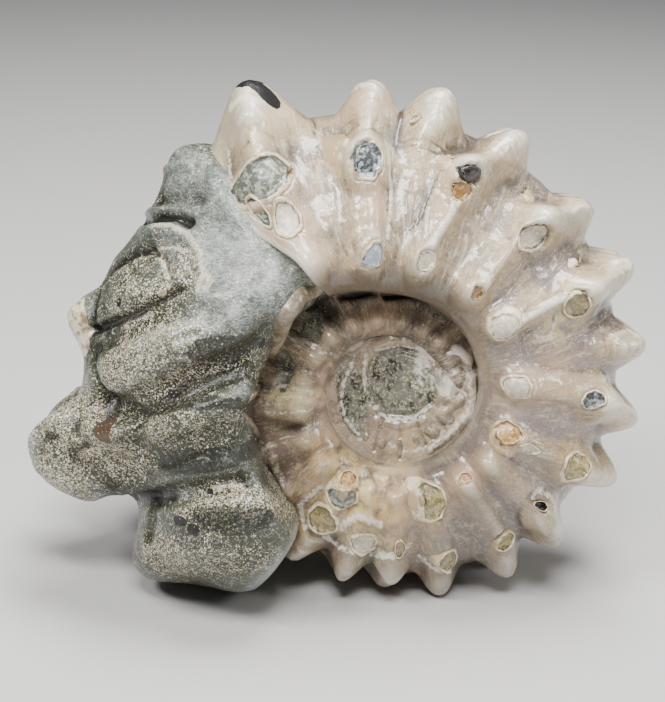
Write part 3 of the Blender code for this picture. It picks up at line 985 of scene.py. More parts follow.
def stone_finish():
    material, nodes, shader, place = new_material("cast stone")
    sheen, sand, cream, dark, jet, rust = (
        mask(nodes, label) for label in ("sheen", "sand", "cream", "dark", "jet", "rust"))
    broad = noise(nodes, place, 0.10, 4.0, 0.6, 0.5)
    cloud = noise(nodes, place, 0.5, 5.0, 0.65)
    fine = noise(nodes, place, 2.2, 4.0, 0.7)

    hollow, groove = mask(nodes, "hollow"), mask(nodes, "groove")
    colour = layer(nodes, GREENSTONE, SLATE, eased(broad + cloud * 0.6, 0.70, 0.92) * 0.8)
    # painted shade: the hollows of the cast are darkened
    colour = layer(nodes, colour, SLATE, eased(hollow + (cloud - 0.5) * 0.8, 0.0, 1.2) * 0.85)
    # painted sheen: a bluish reflection of the lights is painted on the upper part of the cast
    painted_sheen = sheen - hollow * 0.45
    scratch = noise(nodes, place * (1.0, 1.0, 3.5), 1.1, 5.0, 0.75, 0.8)
    scratched = eased(scratch + (cloud - 0.5) * 0.6, 0.44, 0.60)
    colour = layer(nodes, colour, SHEEN_BLUE, painted_sheen * (0.30 + 0.70 * scratched))
    webs = larger(hairline(nodes, place, 0.18, 0.006, 1.5), hairline(nodes, place, 0.4, 0.010, 1.2) * 0.6)
    colour = layer(nodes, colour, CHALK, webs * 0.8)
    colour = layer(nodes, colour, SLATE, eased(fine + cloud * 0.5, 0.88, 0.98) * 0.6)
    drift = sand * 0.8 + (broad - 0.5) * 1.4 + (cloud - 0.5) * 1.3
    colour = layer(nodes, colour, SLATE, eased(sand, 0.2, 0.8) * 0.5)
    small = grains(nodes, place, 3.6, 1.0 - smaller(larger(drift, 0.04), 0.9))
    large = grains(nodes, place, 2.1, 1.0 - smaller(larger(drift - 0.1, 0.02), 0.8) * 0.8)
    colour = layer(nodes, colour, SAND, small * 0.95)
    colour = layer(nodes, colour, CHALK, large * 0.85)
    # painted shade: darker under the lobes and along the creases
    colour = layer(nodes, colour, SLATE, ragged(nodes, dark, place) * 0.75)
    colour = layer(nodes, colour, CREAM, ragged(nodes, cream * 0.7, place, 1.6, 1.8, 0.14) * 0.5)
    colour = layer(nodes, colour, RUST, ragged(nodes, rust, place, 0.9, 0.3))
    colour = layer(nodes, colour, JET, ragged(nodes, jet, place, 1.2, 0.35, 0.03))

    # painted shade: fine grooves of the cast are darkened
    colour = layer(nodes, colour, SLATE, eased(groove, 0.04, 0.25) * 0.8)
    shell_left = ragged(nodes, mask(nodes, "shell"), place, 0.5, 0.35, 0.04)
    remnant = layer(nodes, CREAM, ROSE, eased(cloud + broad * 0.4, 0.62, 0.85))
    colour = layer(nodes, colour, remnant, shell_left)
    height = (cloud - 0.5) * 0.42 + (fine - 0.5) * 0.14 + small * 0.05 + shell_left * 0.25
    coat_normal = bumped(nodes, (cloud - 0.5) * 0.24 + (fine - 0.5) * 0.03)
    coat = smaller(0.5 + 0.5 * sheen + shell_left, 1.0)
    finish(nodes, shader, colour, 0.46, coat, 0.07, bumped(nodes, height), coat_normal)
    shader.inputs["Specular IOR Level"].default_value = 0.2
    return material


cast_stone = stone_finish()
print("cast stone has", len(cast_stone.node_tree.nodes), "nodes")

# %% [markdown]
# ## Shell, inner whorls and cast
#
# One tree makes the three big pieces. The shell of the last whorl stops in the living chamber, where the
# animal's own shell broke away. The cast starts a little way inside it, one shell's thickness lower, and
# ends in a rounded break.

# %% The three big pieces
SHELL_THICKNESS = 1.2
SHELL_FROM = -136.0
SHELL_EDGE = SHELL_END + 3.0
EDGE_SKEW = 9.0
INNER_UNTIL = -133.5
CAST_FROM = 117.0
shell_tube = whorl_tree("shell tube", nacre, shell_relief)
cast_tube = whorl_tree("cast tube", cast_stone, cast_relief)
relief_beads = {"Ribs": rib_beads, "Knobs": knob_beads, "Spines": spine_beads}
last_whorl = run_tree("last_whorl", shell_tube, {
    "Rows": 520, "Around": 190, "First angle": SHELL_FROM, "Last angle": SHELL_EDGE,
    "Edge skew": EDGE_SKEW, "Wobble": 0.25, **relief_beads})
inner_whorls = run_tree("inner_whorls", shell_tube, {
    "Rows": 620, "Around": 130, "First angle": START_ANGLE, "Last angle": INNER_UNTIL,
    "Lip depth": 0.0, "Wobble": 0.2, **relief_beads})
stone_cast = run_tree("stone_cast", cast_tube, {
    "Rows": 400, "Around": 240, "First angle": CAST_FROM, "Last angle": CAST_END, "Lip depth": 0.0,
    "Thinner": SHELL_THICKNESS, "Under shell": SHELL_THICKNESS, "Wobble": 0.4, "Rounding": END_ROUNDING})
for beads in relief_beads.values():
    bpy.data.objects.remove(beads)

# %% [markdown]
# ## Working on a surface from the picture
#
# Breaks, scars and stains are where chance put them, so we place them by their spot in the picture. A ray
# from the camera finds the place on the surface. From then on everything is measured on the surface in
# millimetres, so a stroke is as wide as it should be from every side. The far flank gets the mirrored
# strokes, because it can't be seen.

# %% A surface and its spots in the picture
LINE_STEP = 6.0


class SeenSurface:
    """A piece's points in coil millimetres, and the way from a spot of the picture to a place on it."""

    def __init__(self, piece):
        self.mesh = piece.data
        self.masks = {}
        self.look()
        self.tree = BVHTree.FromObject(piece, bpy.context.evaluated_depsgraph_get())

    def look(self):
        """Reads points and normals. The folded points have the far flank laid on the near one."""
        count = len(self.mesh.vertices)
        places = np.zeros(count * 3)
        normals = np.zeros(count * 3)
        self.mesh.vertices.foreach_get("co", places)
        self.mesh.vertex_normals.foreach_get("vector", normals)
        self.points = to_coil(places.reshape(-1, 3))
        self.normals = direction_to_coil(normals.reshape(-1, 3))
        self.folded = self.points * [1.0, 1.0, 0.0] + np.abs(self.points[:, 2:]) * [0.0, 0.0, 1.0]

    def spot(self, pixel):
        """Place and normal, in coil millimetres, of the surface under a spot of the picture."""
        place, right, up, toward = photo_view()
        steps = DISTANCE / MM_PER_PIXEL
        x, y = pixel[0] - PICTURE[0] / 2.0, PICTURE[1] / 2.0 - pixel[1]
        direction = (right * x + up * y - toward * steps).normalized()
        hit, normal = self.tree.ray_cast(place, direction)[:2]
        if hit is None:
            hit, normal = self.tree.find_nearest(place + direction * DISTANCE * MM)[:2]
        spot, normal = to_coil([hit])[0], direction_to_coil(normal)
        near = [1.0, 1.0, -1.0 if spot[2] < 0.0 else 1.0]
        return spot * near, normal * near

    def line(self, pixels):
        """Places on the surface along a line through spots of the picture."""
        spots = []
        for (x0, y0), (x1, y1) in zip(pixels, pixels[1:]):
            count = max(1, round(math.hypot(x1 - x0, y1 - y0) / LINE_STEP))
            spots += [(x0 + (x1 - x0) * i / count, y0 + (y1 - y0) * i / count) for i in range(count)]
        return np.array([self.spot(pixel)[0] for pixel in spots + [pixels[-1]]])


def direction_to_coil(direction):
    """A direction, or rows of them, in the coil's axes."""
    return to_coil(direction * MM + Vector(CENTRE) * MM)


print("one picture element is", MM_PER_PIXEL, "mm wide at the coil's centre")

# %% [markdown]
# A stroke reaches every point that lies near its line, measured in space. Its height or its colour falls off
# from the line to the reach, so no stroke has a hard border. The masks are stored on the points, where the
# finishes read them. Two more masks are measured, how deep each point lies below its near and its wide
# surroundings. The finishes darken hollows with them, which is painted shade, and lighten crests on the
# shell, which is a painted highlight.

# %% Strokes, patches and masks
FINE_ROUNDS = 5
BROAD_ROUNDS = 90
DEPTH_OF_AN_OVAL = 4.0
TINY = 1e-9


class Surface(SeenSurface):
    """A surface with strokes that push its points along their normals, and painted masks."""

    def near_line(self, line, reach):
        """Which points lie within reach of the line, and their distance as a share of the reach."""
        low, high = line.min(axis=0) - reach, line.max(axis=0) + reach
        chosen = np.flatnonzero(np.all((self.folded > low) & (self.folded < high), axis=1))
        near = self.folded[chosen]
        best = np.full(len(chosen), reach)
        for start, end in zip(line, line[1:]):
            run = end - start
            share = np.clip((near - start) @ run / max(run @ run, TINY), 0.0, 1.0)
            best = np.minimum(best, np.linalg.norm(near - start - share[:, None] * run, axis=1))
        return chosen, best / reach

    def near_oval(self, oval, reach=1.0):
        """Which points lie in the oval, and how far out they are: 1 is its edge."""
        offset = self.folded - oval.middle
        x, y = offset @ oval.long / oval.half[0], offset @ oval.short / oval.half[1]
        out = np.hypot(x, y) / oval.edge(np.arctan2(y, x))
        out = np.maximum(out, np.abs(offset @ oval.normal) / (DEPTH_OF_AN_OVAL * max(oval.half)))
        chosen = np.flatnonzero(out < reach)
        return chosen, out[chosen]

    def push(self, chosen, amounts):
        self.points[chosen] += self.normals[chosen] * np.asarray(amounts)[:, None]

    def paint(self, label, chosen, amounts):
        values = self.masks.setdefault(label, np.zeros(len(self.points)))
        values[chosen] = np.maximum(values[chosen], amounts)

    def carve(self, strokes):
        """Raises a ridge along each line, or cuts a crease where the height is negative."""
        for pixels, height, width in strokes:
            chosen, share = self.near_line(self.line(pixels), width)
            self.push(chosen, height * (1.0 - share ** 2) ** 2)

    def draw(self, label, lines, wider=1.0, strength=1.0):
        """Paints bands along lines, each given with its width."""
        for pixels, width in lines:
            chosen, share = self.near_line(self.line(pixels), width * wider)
            self.paint(label, chosen, strength * (1.0 - share ** 2))

    def stain(self, patches):
        """Paints ovals that fade out beyond their edges."""
        for label, pixel, across, along, tilt, strength in patches:
            chosen, out = self.near_oval(Oval(self, pixel, across, along, tilt), PATCH_FADES_AT)
            self.paint(label, chosen, strength * (1.0 - 0.5 * out ** 2))

    def hollows(self, rounds):
        """How deep each point lies below its smoothed surroundings, in millimetres. Crests are negative."""
        ends = np.zeros(2 * len(self.mesh.edges), np.int64)
        self.mesh.edges.foreach_get("vertices", ends)
        one, other = ends[0::2], ends[1::2]
        both, across = np.concatenate([one, other]), np.concatenate([other, one])
        count = np.maximum(np.bincount(both, minlength=len(self.points)), 1)
        smooth = self.points.copy()
        for _ in range(rounds):
            sums = [np.bincount(both, smooth[across, axis], len(count)) / count for axis in range(3)]
            smooth = np.stack(sums, axis=1)
        return ((smooth - self.points) * self.normals).sum(axis=1)

    def write(self, measure=True):
        """Puts points and masks back into the mesh, with no point below the ground."""
        if measure:
            self.masks["groove"] = self.hollows(FINE_ROUNDS)
            self.masks["hollow"] = self.hollows(BROAD_ROUNDS)
        places = stand_points(self.points)
        places[:, 2] = np.maximum(places[:, 2], 0.0)
        self.mesh.vertices.foreach_set("co", places.ravel())
        for label, values in self.masks.items():
            put_mask(self.mesh, label, values)
        self.mesh.update()


print("hollows are measured over", FINE_ROUNDS, "and", BROAD_ROUNDS, "rounds of smoothing")

# %% [markdown]
# Scars and patches are ovals. An oval lies flat on the surface at its spot, and its edge is a circle that a
# few waves make uneven, each time in another way.

# %% Ovals
PATCH_FADES_AT = 1.6
EDGE_UNEVEN = ((2.0, 0.10, 1.0), (3.0, 0.06, 2.1), (7.0, 0.03, 1.3))
TILT_STEP = 2.0


class Oval:
    """An oval on a surface, from a spot of the picture, two half axes and a tilt in the picture."""

    def __init__(self, surface, pixel, across, along, tilt=0.0, seed=None):
        self.middle, self.normal = surface.spot(pixel)
        turned = math.radians(tilt)
        beside = (pixel[0] + TILT_STEP * math.cos(turned), pixel[1] - TILT_STEP * math.sin(turned))
        long = surface.spot(beside)[0] - self.middle
        long -= self.normal * (long @ self.normal)
        self.long = long / np.linalg.norm(long)
        self.short = np.cross(self.normal, self.long)
        self.half = (across * MM_PER_PIXEL, along * MM_PER_PIXEL)
        self.seed = seed

    def edge(self, turn):
        """How far out the edge lies in each direction. It is uneven where the oval has a seed."""
        if self.seed is None:
            return np.ones_like(turn)
        waves = [height * np.sin(count * turn + shift * self.seed) for count, height, shift in EDGE_UNEVEN]
        return 1.0 + (waves[0] + waves[1]) + waves[2]


print("patches fade out at", PATCH_FADES_AT, "times their size")

# %% [markdown]
# ## Breaks and colours of the cast
#
# The big oval is the scar of a tubercle: its shell has gone and left a domed plug in a shallow trench, with a
# raised rim above it. Long creases separate the lobes, and painted shade darkens the creases and the
# undersides of the lobes. Sand gathers on the lower left lobes. The upper part was polished finer, so its
# coat is thicker, and it carries a painted bluish sheen that stands for the reflection of the lights. A few
# black mineral spots lie in the stone.

# %% Carve and paint the cast
CAST_STROKES = (
    (((90, 332), (110, 324), (135, 313), (160, 299), (178, 289)), -1.7, 1.7),
    (((92, 332), (92, 308), (99, 287), (114, 267), (136, 253), (152, 250)), -1.2, 1.5),
    (((152, 250), (165, 261), (171, 277), (166, 291)), -0.6, 1.1),
    (((152, 228), (170, 226), (190, 236), (201, 254), (203, 275), (197, 292)), 0.7, 2.6),
    (((142, 219), (158, 216), (176, 216), (188, 223)), -1.8, 2.2),
    (((139, 213), (160, 210), (185, 213)), 0.7, 1.6),
    (((212, 300), (192, 320), (160, 338), (128, 352), (98, 366)), 1.4, 5.0),
    (((196, 334), (160, 350), (120, 368)), -0.35, 1.0),
    (((186, 316), (150, 332), (112, 348)), -0.4, 1.6),
    (((235, 330), (190, 350), (150, 374), (118, 392)), 2.2, 6.5),
    (((44, 468), (60, 482), (84, 488)), 3.4, 9.0),
    (((48, 436), (42, 448)), -1.6, 4.0),
    (((60, 416), (52, 424)), 1.2, 3.0),
    (((92, 428), (112, 430)), 1.8, 3.6),
    (((100, 398), (122, 404), (136, 420), (134, 446)), -1.2, 3.2),
    (((110, 407), (134, 406), (164, 398), (204, 380), (243, 366)), -2.6, 6.5),
    (((98, 350), (97, 375), (103, 398)), -1.2, 2.4),
    (((108, 506), (140, 502), (180, 493), (216, 488), (246, 479)), -2.2, 3.2),
    (((205, 490), (225, 486), (242, 483)), 0.9, 1.4),
    (((150, 504), (152, 520), (148, 536)), -1.0, 3.0),
    (((160, 199), (180, 197), (200, 200)), -0.9, 3.0),
    (((158, 172), (172, 166), (188, 165)), 0.6, 1.4),
    (((200, 330), (228, 322), (256, 330)), -1.2, 6.0),
    (((150, 452), (190, 446), (236, 440)), -1.0, 5.0),
    (((155, 472), (180, 468), (205, 463)), 0.6, 1.2),
    (((165, 556), (200, 552), (240, 556)), 0.5, 1.6),
    (((60, 446), (72, 452), (88, 447)), -0.7, 1.8),
)
CAST_CREAM_LINES = (
    (((155, 226), (172, 226), (190, 237), (201, 254), (204, 275), (199, 292)), 0.8),
    (((160, 256), (168, 268), (170, 282), (160, 294)), 0.7),
    (((150, 250), (172, 247), (190, 252)), 0.5),
    (((208, 276), (212, 282), (208, 290)), 0.9),
    (((205, 490), (225, 486), (242, 483)), 0.6),
)
# sheen patches paint a bluish reflection on the upper cast and thicken its coat; the patches that darken are
# painted shade under the lobes and along creases
CAST_PATCHES = (
    ("sheen", (228, 232), 58, 52, 0, 1.3), ("sheen", (284, 268), 30, 22, 10, 1.2),
    ("sheen", (185, 186), 24, 26, 0, 0.9), ("sheen", (172, 334), 50, 12, 27, 1.2),
    ("sheen", (232, 292), 36, 24, 0, 0.9), ("sheen", (182, 496), 18, 6, 10, 0.9),
    ("sand", (88, 440), 60, 36, -20, 1.2), ("sand", (150, 345), 58, 24, 25, 1.0),
    ("sand", (60, 480), 34, 26, 0, 1.2), ("sand", (165, 560), 34, 26, 0, 0.9),
    ("sand", (232, 562), 50, 20, 0, 0.6), ("sand", (280, 488), 26, 22, 0, 1.0),
    ("sand", (130, 280), 34, 22, 45, 0.6), ("sand", (185, 270), 16, 30, 10, 0.8),
    ("sand", (225, 500), 60, 14, 5, 1.0), ("sand", (190, 380), 60, 26, 25, 0.7),
    ("sand", (170, 430), 60, 26, 0, 0.7), ("dark", (226, 348), 34, 15, 10, 1.0),
    ("dark", (190, 388), 60, 10, 22, 0.9), ("dark", (200, 462), 56, 12, 5, 0.9),
    ("dark", (150, 500), 34, 7, 5, 1.0), ("dark", (150, 221), 14, 5, 5, 1.1),
    ("dark", (180, 404), 70, 8, 5, 0.8), ("dark", (232, 521), 44, 16, 0, 0.8),
    ("dark", (70, 494), 36, 6, 0, 0.9), ("jet", (180, 521), 10, 4.5, -20, 1.2),
    ("jet", (193, 530), 8, 5, -30, 1.2), ("jet", (122, 303), 3, 4, 0, 1.3),
    ("jet", (168, 392), 5, 2.5, 0, 1.3), ("jet", (263, 344), 2.5, 6, 15, 1.3),
    ("jet", (206, 491), 4, 2.5, 0, 1.3), ("jet", (272, 487), 2.5, 4, 0, 1.3),
    ("jet", (167, 500), 2.5, 4, 0, 1.2), ("jet", (150, 473), 4, 2.5, 0, 1.2),
    ("rust", (107, 430), 11, 12, -30, 1.1), ("rust", (95, 472), 4, 4, 0, 1.0),
    ("shell", (105, 262), 8, 6, 20, 1.3), ("shell", (90, 291), 4, 12, -25, 1.2),
    ("shell", (76, 330), 16, 25, 0, 1.3), ("sand", (150, 300), 40, 22, 40, 0.8),
    ("sand", (120, 372), 30, 16, 20, 0.9), ("sand", (215, 530), 50, 18, 0, 0.4),
)
DOME_HEIGHT = 0.9
rock = Surface(stone_cast)
rock.carve(CAST_STROKES)
dome = Oval(rock, (128, 288), 46, 30, 42)
chosen, out = rock.near_oval(dome)
rock.push(chosen, DOME_HEIGHT * (1.0 - out ** 2))
rock.draw("cream", CAST_CREAM_LINES, wider=1.3)
rock.stain(CAST_PATCHES)
rock.write()
keep(stone_cast)
print(len(CAST_STROKES), "creases and ridges carved on the cast")

# %% [markdown]
# ## Sand grains that stand proud
#
# Polishing wears the soft cement faster than the grains, so the largest grains stick out a little and
# glitter. A tree scatters them over the finished cast, densest where sand was painted, and sinks each one
# halfway into the stone.

# %% Scatter grains
DULL_SAND = (0.20, 0.18, 0.12)
FEWEST_GRAINS = 0.03
GRAIN_FLATNESS = 0.6


def grain_finish():
    material, nodes, shader, place = new_material("sand grain")
    tone = noise(nodes, place, 0.9, 2.0)
    colour = layer(nodes, DULL_SAND, SAND, eased(tone, 0.42, 0.60))
    finish(nodes, shader, colour, 0.35, 0.5, 0.1, None)
    return material


def grain_tree(material):
    nodes, sizes = new_tree("sand grains", (
        ("Stone", "Object", None), ("Spacing", "Float", 0.62), ("Smallest", "Float", 0.09),
        ("Largest", "Float", 0.21), ("Density", "Float", 1.0), ("Seed", "Int", 11)))
    stone = nodes.make("GeometryNodeObjectInfo", sizes["Stone"], output=4)
    share = smaller(larger(stored(nodes, "sand") * sizes["Density"], FEWEST_GRAINS), 1.0)
    spacing, seed = sizes["Spacing"] * MM, sizes["Seed"]
    most = 1.0 / MM ** 2
    scatter = nodes.add("GeometryNodeDistributePointsOnFaces", stone, None, spacing, most, share, seed,
                        distribute_method="POISSON")
    smallest, largest = sizes["Smallest"] * MM, sizes["Largest"] * MM
    size = nodes.make("FunctionNodeRandomValue", smallest, largest, None, seed, data_type="FLOAT")
    grain = nodes.make("GeometryNodeMeshIcoSphere", 1.0, 1)
    grain = nodes.make("GeometryNodeSetShadeSmooth", grain, None, False)
    points, turns = (Field(nodes, scatter.outputs[label]) for label in ("Points", "Rotation"))
    flattened = (size, size, size * GRAIN_FLATNESS)
    grains = nodes.make("GeometryNodeInstanceOnPoints", points, None, grain, None, None, turns, flattened)
    grains = nodes.make("GeometryNodeRealizeInstances", grains)
    x, y, z = place_of(nodes)[1:]
    grains = nodes.make("GeometryNodeSetPosition", grains, None, (x, y, larger(z, 0.0)))
    end_tree(nodes, grains, material)
    return nodes


sand_grains = run_tree("sand_grains", grain_tree(grain_finish()), {"Stone": stone_cast})
keep(sand_grains)

# %% [markdown]
# ## Worn ribs, cracks and stains of the shell
#
# Between the scars the ribs carry sharp little crests where the polish stopped, and a few cracks. The oldest
# part of the last whorl is stained by iron in ochre and yellow. The highest spine ends in a black cap. Pale
# lines along most crests and spine tips and round the cap are painted highlights, and a few follow cracks.

# %% Carve and paint the shell
SHELL_STROKES = (
    (((371, 182), (375, 210), (376, 238)), 0.7, 2.6),
    (((388, 152), (391, 195), (388, 238)), 0.35, 0.7),
    (((461, 197), (446, 222), (431, 246)), 0.7, 1.6),
    (((441, 178), (428, 205), (426, 236)), 0.3, 0.8),
    (((522, 236), (504, 258), (487, 284)), 0.6, 1.8),
    (((566, 298), (545, 308), (521, 322)), 0.7, 1.4),
    (((568, 310), (546, 322), (522, 336)), -0.5, 1.6),
    (((528, 331), (542, 338), (550, 337), (557, 314)), -0.35, 0.7),
    (((530, 392), (556, 397), (582, 401)), 0.5, 2.2),
    (((524, 441), (545, 452), (566, 462)), 0.5, 2.4),
    (((470, 486), (486, 508), (498, 530)), 0.7, 2.2),
    (((438, 520), (444, 534), (448, 546)), 0.5, 2.0),
    (((240, 120), (249, 114), (261, 113)), 0.5, 1.2),
    (((488, 131), (507, 124), (522, 130)), 0.5, 1.4),
    (((350, 94), (360, 86), (371, 85), (380, 92)), 0.6, 1.1),
    (((428, 100), (438, 93), (449, 94)), 0.6, 1.0),
    (((430, 108), (441, 102), (450, 104)), 0.5, 1.0),
    (((574, 212), (584, 206), (592, 212)), 0.5, 1.1),
    (((616, 262), (628, 260), (630, 268)), 0.5, 1.1),
    (((612, 336), (628, 331), (640, 338)), 0.5, 1.2),
    (((606, 410), (620, 406), (634, 412)), 0.5, 1.2),
    (((533, 497), (545, 512), (553, 524)), -0.7, 2.4),
    (((352, 510), (372, 498), (392, 512), (408, 505)), -0.8, 3.0),
    (((340, 528), (356, 515), (380, 525), (396, 520)), 0.6, 2.0),
    (((366, 470), (372, 488), (364, 506)), 0.5, 1.6),
    (((326, 500), (336, 488), (346, 492)), 0.5, 1.4),
)
SHELL_PATCHES = (
    ("stain", (372, 500), 44, 34, 0, 1.2), ("stain", (352, 478), 24, 18, 0, 1.0),
    ("stain", (400, 545), 26, 14, 0, 0.7), ("lemon", (362, 492), 30, 22, 20, 1.1),
    ("lemon", (345, 462), 20, 10, 30, 0.9), ("lemon", (366, 540), 24, 14, 0, 0.9),
    ("peach", (398, 482), 22, 26, 0, 1.0), ("peach", (290, 222), 22, 20, -60, 1.0),
    ("peach", (372, 205), 12, 30, 0, 1.0), ("peach", (380, 100), 20, 16, 0, 0.7),
    ("peach", (560, 372), 26, 12, -10, 0.7), ("peach", (450, 200), 16, 22, 0, 0.8),
    ("peach", (520, 380), 26, 16, 0, 0.7), ("lemon", (560, 325), 26, 18, 30, 0.7),
    ("peach", (466, 474), 20, 14, 0, 0.8), ("stain", (566, 470), 26, 20, 0, 0.5),
    ("plum", (296, 458), 18, 10, -10, 0.6), ("plum", (540, 505), 12, 8, 0, 0.7),
)
CAP = ((220, 105), (224, 94), (232, 84), (243, 80), (255, 82), (264, 90), (271, 98))
# the pale rim of the cap is a painted highlight
CAP_HIGHLIGHT = ((230, 108), (238, 100), (249, 97), (258, 102))
# pale lines along crests, spine tips and a few cracks; most are painted highlights
CREAM_CRESTS_AND_HIGHLIGHTS = (
    (((461, 197), (446, 222), (431, 246)), 0.9), (((566, 298), (545, 308), (521, 322)), 0.8),
    (((388, 152), (391, 195), (388, 238)), 0.5), (((528, 331), (542, 338), (550, 337), (557, 314)), 0.5),
    (((228, 150), (232, 190), (252, 205), (283, 202)), 0.6), (((340, 528), (356, 515), (380, 525)), 1.0),
    (((306, 530), (300, 505), (318, 488), (334, 486)), 0.7), (((372, 555), (392, 556), (410, 545)), 0.9),
    (((350, 94), (360, 86), (371, 85)), 0.5), (((428, 100), (438, 93), (449, 94)), 0.5),
    (((533, 497), (540, 490), (552, 498), (556, 512)), 0.9), (((326, 536), (340, 548), (352, 552)), 0.8),
    (((240, 120), (249, 114), (261, 113)), 0.7), (((420, 556), (430, 566), (440, 572)), 0.8),
)
shell = Surface(last_whorl)
shell.carve(SHELL_STROKES)
shell.write()
print(len(SHELL_STROKES), "crests and cracks on the shell")

# %% [markdown]
# ## Scars of the tubercles
#
# The tips of the knobs were hollow, and polishing cut many of them open. Each one shows a ring of shell
# layers around a core of crystal, stone or resin-coloured calcite. We lay a round patch with many small
# faces on the shell: its rim stands proud, its core lies deeper, and its outer edge dives below the shell,
# which gets a dent for it. Cores of one kind make one piece.

# %% Finish of a scar
def scar_finish(name, core, spark, rough, ochre=0.0):
    """Rings by the distance from the scar's middle, which is 1 at the rim. Ochre adds iron to the rim."""
    material, nodes, shader, place = new_material(name)
    out = mask(nodes, "out") + (noise(nodes, place, 0.8, 4.0, 0.6) - 0.5) * 0.22
    fleck = noise(nodes, place, 2.4, 4.0, 0.7, 0.5)
    facets = nodes.add("ShaderNodeTexVoronoi", place, 1.5)
    tone = nodes.add("ShaderNodeSeparateColor", Field(nodes, facets.outputs["Color"]))
    tone = Field(nodes, tone.outputs[0])
    colour = layer(nodes, core, spark, eased(fleck * 0.6 + tone * 0.5, 0.42, 0.80))
    patches = noise(nodes, place, 0.55, 4.0, 0.6, 0.6)
    ring = layer(nodes, CREAM, OCHRE, eased(patches + ochre * 0.2, 0.50, 0.64) * 0.8)
    ring = layer(nodes, ring, BROWN, eased(patches + fleck * 0.4, 0.76, 0.92) * 0.6)
    dark_line = 1.0 - eased(size_of(out - 0.83), 0.02, 0.07)
    colour = layer(nodes, colour, JET, dark_line * eased(patches, 0.40, 0.55) * 0.8)
    colour = layer(nodes, colour, ring, eased(out, 0.86, 0.92))
    colour = layer(nodes, colour, BEIGE, eased(out + (fleck - 0.5) * 0.4 + (patches - 0.5) * 0.6, 0.96, 1.10))
    inside = 1.0 - eased(out, 0.78, 0.88)
    height = (tone - 0.5) * 0.25 * inside + (fleck - 0.5) * 0.12
    finish(nodes, shader, colour, rough, 1.0, 0.04, bumped(nodes, height), bumped(nodes, height * 0.4))
    return material


SCAR_FINISHES = {
    "stone": scar_finish("scar of stone", (0.11, 0.12, 0.09), (0.44, 0.44, 0.34), 0.4),
    "crystal": scar_finish("scar of crystal", (0.05, 0.055, 0.055), (0.38, 0.42, 0.42), 0.2),
    "pearl": scar_finish("scar of blue pearl", PEARL_BLUE, (0.50, 0.52, 0.55), 0.25, 0.8),
    "amber": scar_finish("scar of amber", AMBER, (0.62, 0.40, 0.13), 0.2, 0.5),
    "olive": scar_finish("scar of olive calcite", OLIVE, (0.45, 0.36, 0.16), 0.25),
    "cream": scar_finish("scar of cream shell", (0.60, 0.52, 0.38), (0.78, 0.72, 0.58), 0.35),
    "jet": scar_finish("scar of black calcite", JET, (0.05, 0.035, 0.03), 0.08),
}
print(len(SCAR_FINISHES), "kinds of scar")

# %% [markdown]
# A scar has to follow the shell, which is curved and uneven there. So we fit a shallow dish through the
# shell's own points near the scar, and blend from it to the points themselves towards the rim. Points that
# face away don't count.

# %% Fit a dish under each scar
POINT_BLUR = 0.35
DISH_BETWEEN = (0.75, 1.0)
DENT_BETWEEN = (0.88, 1.10)
PROUD_AT_MOST = 0.3
FACES_SCAR = 0.25
NOT_TURNED_AWAY = -0.5
NEAR_REACH = 1.3
NEAR_MARGIN = 0.9
LEVEL_MARGIN = 0.5
CORE_MARGIN = 0.8
DENT_REACH = 1.2


def dish_terms(across, along):
    """What the six numbers of a shallow dish are multiplied by at each place."""
    return np.stack([np.ones_like(across), across, along, across ** 2, across * along, along ** 2], axis=1)


def fit_dish(surface, oval):
    """Gives the oval the levels of the points near it and the smooth dish that lies through them."""
    chosen, out = surface.near_oval(oval, NEAR_REACH + NEAR_MARGIN / min(oval.half))
    side = np.where(surface.points[chosen, 2] < 0.0, -1.0, 1.0)
    facing = surface.normals[chosen, :2] @ oval.normal[:2]
    facing = facing + surface.normals[chosen, 2] * side * oval.normal[2]
    offset = surface.folded[chosen] - oval.middle
    places = np.stack([offset @ oval.long, offset @ oval.short, offset @ oval.normal], axis=1)
    oval.near = places[facing > NOT_TURNED_AWAY]
    level = np.abs(places[:, 2]) < max(oval.half) + LEVEL_MARGIN
    core = places[(facing > FACES_SCAR) & level & (out < 1.0 + CORE_MARGIN / min(oval.half))]
    oval.dish = np.linalg.lstsq(dish_terms(core[:, 0], core[:, 1]), core[:, 2], rcond=None)[0]


def level_at(oval, across, along, out):
    """Height of the surface along the oval's normal: the dish inside, the points themselves outside."""
    dish = dish_terms(across, along) @ oval.dish
    away = (across[:, None] - oval.near[:, 0]) ** 2 + (along[:, None] - oval.near[:, 1]) ** 2
    weight = 1.0 / (away + POINT_BLUR ** 2) ** 3
    points = weight @ oval.near[:, 2] / weight.sum(axis=1)
    return dish + (np.minimum(points, dish + PROUD_AT_MOST) - dish) * eased(out, *DISH_BETWEEN)


def dent(surface, oval, deep):
    """Fits points to the oval's dish and pushes those inside it down, mirrored on the far flank."""
    chosen, out = surface.near_oval(oval, DENT_REACH)
    offset = surface.folded[chosen] - oval.middle
    near = np.abs(offset @ oval.normal) < 1.5 * max(oval.half) + 1.0
    chosen, out, offset = chosen[near], out[near], offset[near]
    dish = dish_terms(offset @ oval.long, offset @ oval.short) @ oval.dish
    amounts = (dish - offset @ oval.normal) * (1.0 - eased(out, *DISH_BETWEEN))
    amounts = amounts - deep * (1.0 - eased(out, *DENT_BETWEEN))
    side = np.where(surface.points[chosen, 2:] < 0.0, -1.0, 1.0)
    way = oval.normal * np.concatenate([np.ones_like(side), np.ones_like(side), side], axis=1)
    surface.points[chosen] += way * amounts[:, None]


print("a scar's rim stands at most", PROUD_AT_MOST, "mm above its dish")

# %% [markdown]
# Each scar is listed with its kind, its spot in the picture, its two half axes there, its tilt and how deep
# its core lies.

